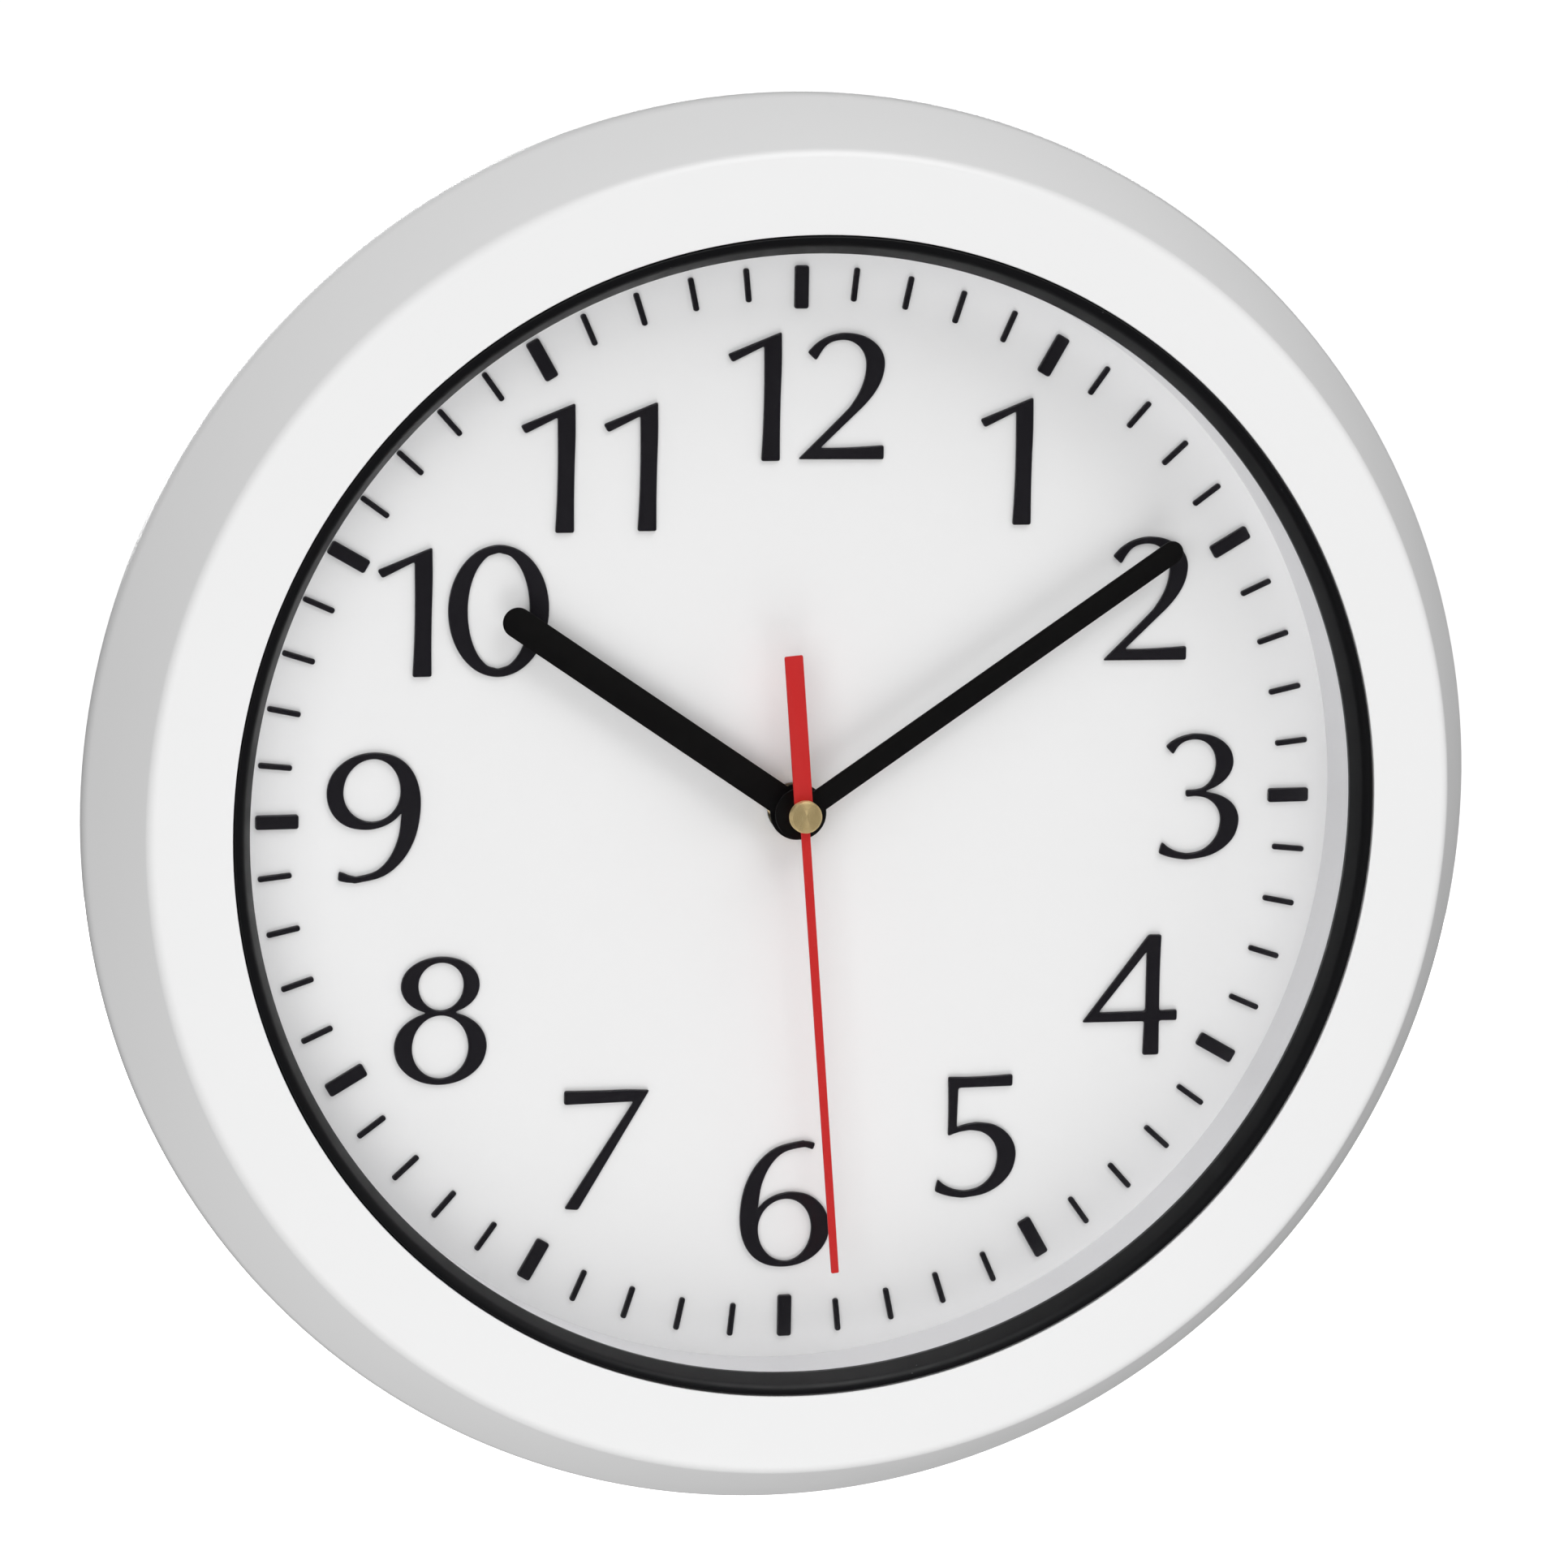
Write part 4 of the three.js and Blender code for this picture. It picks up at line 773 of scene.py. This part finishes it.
def make_inner_wall(material):
    front = depth_range("inner_wall")[1]
    back = DIAL_FRONT + 0.02
    outer = WALL_INNER + WALL_THICKNESS
    outline = [(WALL_INNER, back), (outer, back), (outer, front), (WALL_INNER, front)]
    outline = rounded(outline, {3: 0.3}, 3)
    return finish_mesh("inner_wall_fine", lathe(outline, FINE_SIDES), material, 25.0)


# ---------------------------------------------------------------- dial, markers and numerals

BUSH_HOLE = 4.3
HOUR_MARKER = {"radius": 109.8, "length": 9.0, "width": 3.0, "height": 1.0}
HOUR_MARKER.update({"corner": 0.55, "edge": 0.3})
MINUTE_MARKER = {"radius": 110.8, "length": 7.1, "width": 1.2, "height": 0.8}
MINUTE_MARKER.update({"corner": 0.5, "edge": 0.25})


def make_dial(material):
    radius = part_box("dial_plate")[1].x / MM
    outline = [
        (BUSH_HOLE, DIAL_BACK),
        (radius, DIAL_BACK),
        (radius, DIAL_FRONT),
        (BUSH_HOLE, DIAL_FRONT),
    ]
    outline = rounded(outline, {2: 0.3, 3: 0.2}, 3)
    return finish_mesh("dial", lathe(outline, FINE_SIDES), material, 25.0)


def make_markers(name, marker, tree, material, **pattern):
    width, length, corner = marker["width"], marker["length"], marker["corner"]
    outline = rounded_box(width, length, corner, 0.0, marker["radius"], 4)
    one = plate([outline], DIAL_FRONT - 0.2, DIAL_FRONT + marker["height"], marker["edge"])
    return finish_mesh(name, round_the_axis(one, tree, material=material, **pattern), None, 40.0)


SHORTEST_EDGE = 0.75


def without_nicks(loop):
    """A loop whose very short edges are each closed up to their middle point."""
    points = [Vector(p) for p in loop]
    kept = []
    skip = False
    for i, here in enumerate(points):
        following = points[(i + 1) % len(points)]
        if skip:
            skip = False
        elif (following - here).length < SHORTEST_EDGE:
            kept.append((here + following) / 2)
            skip = True
        else:
            kept.append(here)
    return kept[1:] if skip else kept


def front_loops(node):
    """Edges of a flat CAD node's front face, as closed loops of (across, up) points."""
    shape = bmesh.new()
    shape.from_mesh(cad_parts[node].data)
    bmesh.ops.remove_doubles(shape, verts=shape.verts, dist=0.001 * MM)
    facing = {face for face in shape.faces if face.normal.y < -0.9}
    following = {}
    for face in facing:
        for loop in face.loops:
            neighbours = [other for other in loop.edge.link_faces if other is not face]
            if not any(other in facing for other in neighbours):
                following[loop.vert] = loop.link_loop_next.vert
    loops = []
    while following:
        start, here = following.popitem()
        loop = [start]
        while here is not start:
            loop.append(here)
            here = following.pop(here)
        loops.append(without_nicks([(v.co.x / MM, v.co.z / MM - AXIS_HEIGHT) for v in loop]))
    shape.free()
    return loops


def catmull_rom(before, start, end, after, steps):
    """Points on a smooth curve from start to just short of end."""
    points = []
    for step in range(steps):
        t = step / steps
        pull = (end - before) * t + (2 * before - 5 * start + 4 * end - after) * t**2
        pull += (3 * start - before - 3 * end + after) * t**3
        points.append(start + pull / 2)
    return points


CORNER_TURN = 38.0  # a sharper turn than this is a real corner of a numeral
CORNER_ROUND = 0.55


def softened(loop, steps=4):
    """A loop with its curves smoothed and its corners slightly rounded."""
    count = len(loop)
    runs = [[]]
    for i, here in enumerate(loop):
        last, following = loop[i - 1], loop[(i + 1) % count]
        turn = (here - last).angle(following - here)
        if math.degrees(turn) < CORNER_TURN:
            runs[-1].append(here)
            continue
        to_last, to_next = last - here, following - here
        start = here + to_last.normalized() * min(CORNER_ROUND, 0.4 * to_last.length)
        end = here + to_next.normalized() * min(CORNER_ROUND, 0.4 * to_next.length)
        runs[-1].append(start)
        for step in range(1, steps):
            t = step / steps
            runs[-1].append(start * (1 - t) ** 2 + here * 2 * t * (1 - t) + end * t**2)
        runs.append([end])
    if len(runs) == 1:
        smooth = []
        for i in range(count):
            after, beyond = loop[(i + 1) % count], loop[(i + 2) % count]
            smooth += catmull_rom(loop[i - 1], loop[i], after, beyond, steps)
        return [tuple(p) for p in smooth]
    runs[0] = runs.pop() + runs[0]
    smooth = []
    for run in runs:
        body, bend = run[: 1 - steps], run[1 - steps :]
        for i in range(len(body) - 1):
            before = body[i - 1] if i > 0 else body[0] * 2 - body[1]
            after = body[i + 2] if i + 2 < len(body) else body[-1] * 2 - body[-2]
            pieces = steps if len(body) > 2 else 1
            smooth += catmull_rom(before, body[i], body[i + 1], after, pieces)
        smooth.append(body[-1])
        smooth += bend
    return [tuple(p) for p in smooth]


def make_numeral(node, material):
    back, front = depth_range(node)
    loops = [softened(loop) for loop in front_loops(node)]
    return finish_mesh(f"{node}_fine", plate(loops, back, front, 0.3), material, 40.0)


# ---------------------------------------------------------------- hands and their cap

HOUR_HAND = {"angle": 304.3, "width": 6.4, "length": 76.2, "hub": 6.0, "bore": 2.26}
MINUTE_HAND = {"angle": 56.1, "width": 4.8, "length": 98.9, "hub": 5.5, "bore": 1.46}
SECOND_ANGLE = 175.1
SECOND_LENGTH = 98.9
SECOND_TAIL = 34.0
SECOND_TAIL_WIDTH = 3.95
SECOND_ROOT_WIDTH = 1.95
SECOND_TIP_WIDTH = 1.65
SECOND_BORE = 0.56
HAND_EDGE = 0.14
CAP_BEVEL = 0.4


def make_hand(node, hand, material):
    half = hand["width"] / 2
    meeting = math.degrees(math.asin(half / hand["hub"]))
    tip = arc((0.0, hand["length"] - half), half, 0.0, 180.0, 24)
    hub = arc((0.0, 0.0), hand["hub"], 90.0 + meeting, 450.0 - meeting, 48)
    loops = turned_clockwise([tip + hub, circle(hand["bore"], 32)], hand["angle"])
    return finish_mesh(f"{node}_fine", plate(loops, *depth_range(node), HAND_EDGE), material, 40.0)


def make_second_hand(material):
    tail, root, tip = SECOND_TAIL_WIDTH / 2, SECOND_ROOT_WIDTH / 2, SECOND_TIP_WIDTH / 2
    outline = [
        (-tail, -SECOND_TAIL),
        (tail, -SECOND_TAIL),
        (tail, 0.0),
        (root, 0.5),
        (tip, SECOND_LENGTH),
        (-tip, SECOND_LENGTH),
        (-root, 0.5),
        (-tail, 0.0),
    ]
    outline = rounded(outline, {0: 0.35, 1: 0.35, 4: 0.3, 5: 0.3}, 3)
    loops = turned_clockwise([outline, circle(SECOND_BORE, 24)], SECOND_ANGLE)
    depths = depth_range("second_hand")
    return finish_mesh("second_hand_fine", plate(loops, *depths, HAND_EDGE), material, 40.0)


def make_cap(material):
    back, front = depth_range("hand_cap")
    radius = (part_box("hand_cap")[1].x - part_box("hand_cap")[0].x) / 2 / MM
    outline = [
        (SECOND_BORE, back),
        (radius, back),
        (radius, front - CAP_BEVEL),
        (radius - CAP_BEVEL, front),
        (0.0, front),
        (0.0, front - CAP_BEVEL),
        (SECOND_BORE, front - CAP_BEVEL),
    ]
    outline = rounded(outline, {1: 0.1, 2: 0.1, 3: 0.1}, 3)
    return finish_mesh("hand_cap_fine", lathe(outline, 96), material, 22.0)


# ---------------------------------------------------------------- rear cover, hanger and screws

MOVEMENT_WINDOW = 1.5
MOVEMENT_CORNER = 4.0
KEYHOLE_HEAD = 5.0
KEYHOLE_SLOT = 2.5
KEYHOLE_DROP = 10.0
POCKET_MARGIN = 3.0
SCREW_HOLE = 1.6
SCREW_HEAD = 3.0
SCREW_SHANK = 1.3
SCREW_HEAD_HEIGHT = 1.6
SCREW_DOME = 0.6  # how much narrower the head is at its crown
SCREW_RECESS = {"length": 3.2, "width": 0.7, "depth": 0.9}


def place_of(node):
    """Middle of a node from the hands' axis: across and up."""
    x, height = middle_of(node)
    return x, height - AXIS_HEIGHT


def screw_holes(nodes):
    """The clearance holes of screws, as loops."""
    return [circle(SCREW_HOLE, 24, *place_of(node)) for node in nodes]


def make_rear_cover(material):
    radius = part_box("rear_cover")[1].x / MM
    low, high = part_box("movement_housing")
    window = (high.x - low.x) / MM + 2 * MOVEMENT_WINDOW
    pocket = 2 * (KEYHOLE_HEAD + POCKET_MARGIN)
    loops = [
        circle(radius, FINE_SIDES),
        rounded_box(window, window, MOVEMENT_CORNER),
        rounded_box(pocket, KEYHOLE_DROP + pocket, POCKET_MARGIN, *place_of("hanger_plate")),
        *screw_holes(COVER_SCREWS + HANGER_SCREWS),
    ]
    disc = plate(loops, COVER_BACK, COVER_FRONT, 0.35)
    return finish_mesh("rear_cover_fine", disc, material, 10.0)


def make_hanger_plate(material):
    low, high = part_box("hanger_plate")
    middle = place_of("hanger_plate")
    slot_end = middle[1] + KEYHOLE_DROP / 2 - KEYHOLE_SLOT
    neck = math.degrees(math.acos(KEYHOLE_SLOT / KEYHOLE_HEAD))
    head = arc((0.0, middle[1] - KEYHOLE_DROP / 2), KEYHOLE_HEAD, 180.0 - neck, 360.0 + neck, 32)
    keyhole = head + arc((0.0, slot_end), KEYHOLE_SLOT, 0.0, 180.0, 16)
    loops = [
        rounded_box((high.x - low.x) / MM, (high.z - low.z) / MM, 3.0, *middle),
        keyhole,
        *screw_holes(HANGER_SCREWS),
    ]
    depths = depth_range("hanger_plate")
    return finish_mesh("hanger_plate_fine", plate(loops, *depths, 0.15), material, 10.0)


def carved(mesh_data, tool_data):
    """A mesh with another one cut out of it."""
    holders = [bpy.data.objects.new("carve", data) for data in (mesh_data, tool_data)]
    for holder in holders:
        bpy.context.scene.collection.objects.link(holder)
    modifier = holders[0].modifiers.new("carve", "BOOLEAN")
    modifier.object = holders[1]
    modifier.solver = "EXACT"
    result = plain_mesh(holders[0])
    for holder in holders:
        bpy.data.objects.remove(holder)
    return result


def screw_mesh(node, place):
    """A pan-head screw with a cross recess, like the CAD screw of a node."""
    back, front = depth_range(node)
    shoulder = back + SCREW_HEAD_HEIGHT
    outline = [
        (0.0, back),
        (SCREW_HEAD - SCREW_DOME, back),
        (SCREW_HEAD, back + SCREW_HEAD_HEIGHT / 2),
        (SCREW_HEAD, shoulder),
        (SCREW_SHANK, shoulder),
        (SCREW_SHANK, front),
        (0.0, front),
    ]
    solid = lathe(rounded(outline, {1: 0.5, 2: 0.5, 3: 0.2}, 3), 32, place)
    length, width = SCREW_RECESS["length"], SCREW_RECESS["width"]
    for across, up in ((length, width), (width, length)):
        loop = rounded_box(across, up, 0.2, *place, steps=2)
        arm = plate([loop], back - 0.5, back + SCREW_RECESS["depth"], 0.1)
        solid = carved(solid, arm)
    return solid


def make_cover_screws(tree, material):
    radius = math.hypot(*place_of(COVER_SCREWS[0]))
    one = screw_mesh(COVER_SCREWS[0], (0.0, radius))
    ring = round_the_axis(one, tree, count=len(COVER_SCREWS), material=material, start=45.0)
    return finish_mesh("cover_screws", ring, None, 30.0)


def make_hanger_screws(material):
    pair = [screw_mesh(node, place_of(node)) for node in HANGER_SCREWS]
    return finish_mesh("hanger_screws", joined(*pair), material, 30.0)


# ---------------------------------------------------------------- movement


def softened_copy(node, material, edge, sharp_angle=40.0):
    """A CAD node's shape with its sharp edges rounded."""
    shape = bmesh.new()
    shape.from_mesh(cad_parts[node].data)
    bmesh.ops.remove_doubles(shape, verts=shape.verts, dist=0.001 * MM)
    limit = math.radians(1.0)
    bmesh.ops.dissolve_limit(shape, angle_limit=limit, verts=shape.verts, edges=shape.edges)
    mesh_data = bpy.data.meshes.new(node)
    shape.to_mesh(mesh_data)
    shape.free()
    holder = bpy.data.objects.new("softened", mesh_data)
    bpy.context.scene.collection.objects.link(holder)
    modifier = holder.modifiers.new("edges", "BEVEL")
    modifier.width = edge * MM
    modifier.segments = 2
    modifier.limit_method = "ANGLE"
    modifier.angle_limit = math.radians(35.0)
    modifier.harden_normals = False
    result = plain_mesh(holder)
    bpy.data.objects.remove(holder)
    return finish_mesh(f"{node}_fine", result, material, sharp_angle)


CELL_NUB_RADIUS = 2.75
CELL_NUB_LENGTH = 1.3
CELL_ROLLED_EDGE = 0.5


def make_cell(material):
    """A dry cell: a sleeved can with rolled ends and a stepped positive cap."""
    low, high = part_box("battery_cell")
    left, right = low.x / MM, high.x / MM
    radius = (high.z - low.z) / 2 / MM
    shoulder = right - CELL_NUB_LENGTH
    outline = [
        (0.0, left + 0.2),
        (radius - 2.2, left + 0.2),
        (radius - 1.6, left),
        (radius - CELL_ROLLED_EDGE, left),
        (radius, left + CELL_ROLLED_EDGE),
        (radius, shoulder - 0.6),
        (radius - 0.6, shoulder),
        (radius - 1.4, shoulder),
        (radius - 1.8, shoulder - 0.3),
        (CELL_NUB_RADIUS, shoulder - 0.3),
        (CELL_NUB_RADIUS, right),
        (0.0, right),
    ]
    outline = rounded(outline, {2: 0.3, 3: 0.3, 5: 0.4, 6: 0.4, 10: 0.4}, 3)
    middle = (place_of("battery_cell")[1], -(low.y + high.y) / 2 / MM)
    return finish_mesh("battery", lathe(outline, 64, middle, along_x=True), material, 30.0)


# ---------------------------------------------------------------- stage


FLOOR_DROP = 0.38  # metres below the case


def make_floor(material):
    """A pale floor below and behind the clock, which only the camera sees."""
    mesh_data = bpy.data.meshes.new("floor")
    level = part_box("case_shell")[0].z - FLOOR_DROP
    corners = [(-5.0, -1.0, level), (5.0, -1.0, level), (5.0, 9.0, level), (-5.0, 9.0, level)]
    mesh_data.from_pydata(corners, [], [(0, 1, 2, 3)])
    mesh_data.materials.append(material)
    floor = bpy.data.objects.new("floor", mesh_data)
    floor.visible_diffuse = False
    floor.visible_glossy = False
    floor.visible_shadow = False
    bpy.context.scene.collection.objects.link(floor)


def add_lamp(name, place, aim, size, watts, mirrored):
    """A square soft lamp; mirrored says whether glossy surfaces show it."""
    lamp = bpy.data.objects.new(name, bpy.data.lights.new(name, "AREA"))
    lamp.data.shape = "SQUARE"
    lamp.data.size = size
    lamp.data.energy = watts
    lamp.location = place
    lamp.rotation_euler = (Vector(aim) - Vector(place)).to_track_quat("-Z", "Y").to_euler()
    lamp.visible_glossy = mirrored
    lamp.visible_camera = False
    bpy.context.scene.collection.objects.link(lamp)


def light_stage():
    """Soft lamps above, in front, below, to the right and behind, and a pale studio all round."""
    middle = at(0, 0, DIAL_FRONT)
    add_lamp("top_softbox", (0.35, -0.95, 1.35), middle, 1.1, 10.5, True)
    add_lamp("front_fill", (-1.1, -2.2, 0.15), middle, 1.8, 21.0, False)
    add_lamp("low_fill", (0.0, -1.0, -1.15), middle, 1.1, 8.0, False)
    add_lamp("right_fill", (1.8, -0.7, 0.0), middle, 1.1, 5.0, False)
    add_lamp("rear_softbox", (-0.5, 2.6, 0.6), middle, 1.0, 30.0, True)
    add_lamp("rear_fill", (0.6, 2.6, -0.1), middle, 1.0, 16.0, True)
    world = bpy.data.worlds.new("studio")
    world.use_nodes = True
    bpy.context.scene.world = world
    tree = world.node_tree
    paths = add(tree, "ShaderNodeLightPath")
    strength_in = {"Value": paths.outputs["Is Camera Ray"], "To Min": 0.31, "To Max": 1.05}
    strength = add(tree, "ShaderNodeMapRange", strength_in).outputs["Result"]
    feed(tree, tree.nodes["Background"], {"Strength": strength, "Color": (1, 1, 1, 1)})
    world.cycles_visibility.glossy = False
    bpy.context.scene.view_settings.view_transform = "Standard"


# ---------------------------------------------------------------- the whole clock


def paint(material, *nodes):
    """Gives CAD nodes that stay as they are a material."""
    for node in nodes:
        mesh_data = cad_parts[node].data
        mesh_data.materials.clear()
        mesh_data.materials.append(material)


def stands_for(piece, body, slot, *nodes):
    """Says which CAD nodes a piece stands for and what it moves with. The slot argument is not used.
    """
    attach(piece, body)
    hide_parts(*nodes)


place_camera()
light_stage()
make_floor(pale_paper())

white_abs = glossy_white_abs()
satin_white = satin_white_abs()
polypropylene = white_polypropylene()
styrene = grey_styrene()
numeral_abs = black_numeral_abs()
black_abs = textured_black_abs()
acetal = natural_acetal()
nitrile = moulded_nitrile()
ring_abs = satin_black_abs_ring()
dial_paint = matt_white_dial_paint()
black_lacquer = matt_black_lacquer()
red_lacquer = satin_red_lacquer()
brass = turned_brass()
zinc = zinc_plated_steel()
acrylic = clear_acrylic()
ferrite = bonded_ferrite()
copper = enamelled_copper()
solder_mask = green_solder_mask()
sleeve = printed_sleeve()
ring_pattern = ring_pattern_tree()

stands_for(make_case(white_abs), "case", "white_case", "case_shell")
stands_for(make_trim_ring(ring_abs), "case", "black_trim", "trim_ring")
stands_for(make_lens(acrylic), "case", "clear_lens", "lens")
stands_for(make_inner_wall(styrene), "case", "grey_wall", "inner_wall")
stands_for(make_dial(dial_paint), "case", "white_dial", "dial_plate")
for marker_name, marker, pattern in (
    ("hour_markers", HOUR_MARKER, {"count": 12}),
    ("minute_markers", MINUTE_MARKER, {"count": 60, "leave_out_every": 5}),
):
    markers = make_markers(marker_name, marker, ring_pattern, numeral_abs, **pattern)
    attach(markers, "case")
for numeral_node in [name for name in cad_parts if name.startswith("numeral_")]:
    stands_for(make_numeral(numeral_node, numeral_abs), "case", "black_numerals", numeral_node)
stands_for(make_hand("hour_hand", HOUR_HAND, black_lacquer), "hours", "black_hands", "hour_hand")
minute_hand = make_hand("minute_hand", MINUTE_HAND, black_lacquer)
stands_for(minute_hand, "minutes", "black_hands", "minute_hand")
stands_for(make_second_hand(red_lacquer), "seconds", "red_hand", "second_hand")
stands_for(make_cap(brass), "seconds", "brass", "hand_cap")
stands_for(make_rear_cover(satin_white), "case", "white_case", "rear_cover")
stands_for(make_hanger_plate(zinc), "case", "steel", "hanger_plate")
stands_for(make_cover_screws(ring_pattern, zinc), "case", "steel", *COVER_SCREWS)
stands_for(make_hanger_screws(zinc), "case", "steel", *HANGER_SCREWS)
for black_node, edge in (("movement_housing", 0.35), ("movement_cover", 0.12)):
    stands_for(softened_copy(black_node, black_abs, edge), "case", "black_housing", black_node)
knob = softened_copy("setting_knob", polypropylene, 0.08)
stands_for(knob, "knob", "white_knob", "setting_knob")
stands_for(make_cell(sleeve), "battery", "cell_label", "battery_cell")

paint(styrene, "support_ring")
paint(brass, "movement_bush", "hex_nut")
paint(zinc, "flat_washer", "stator", "quartz_crystal", "positive_contact", "negative_contact")
paint(nitrile, "rubber_washer")
paint(acetal, "second_wheel", "third_wheel", "centre_wheel", "intermediate_wheel")
paint(acetal, "minute_pipe", "hour_wheel", "motion_wheel")
paint(ferrite, "rotor")
paint(copper, "coil")
paint(solder_mask, "circuit_board")
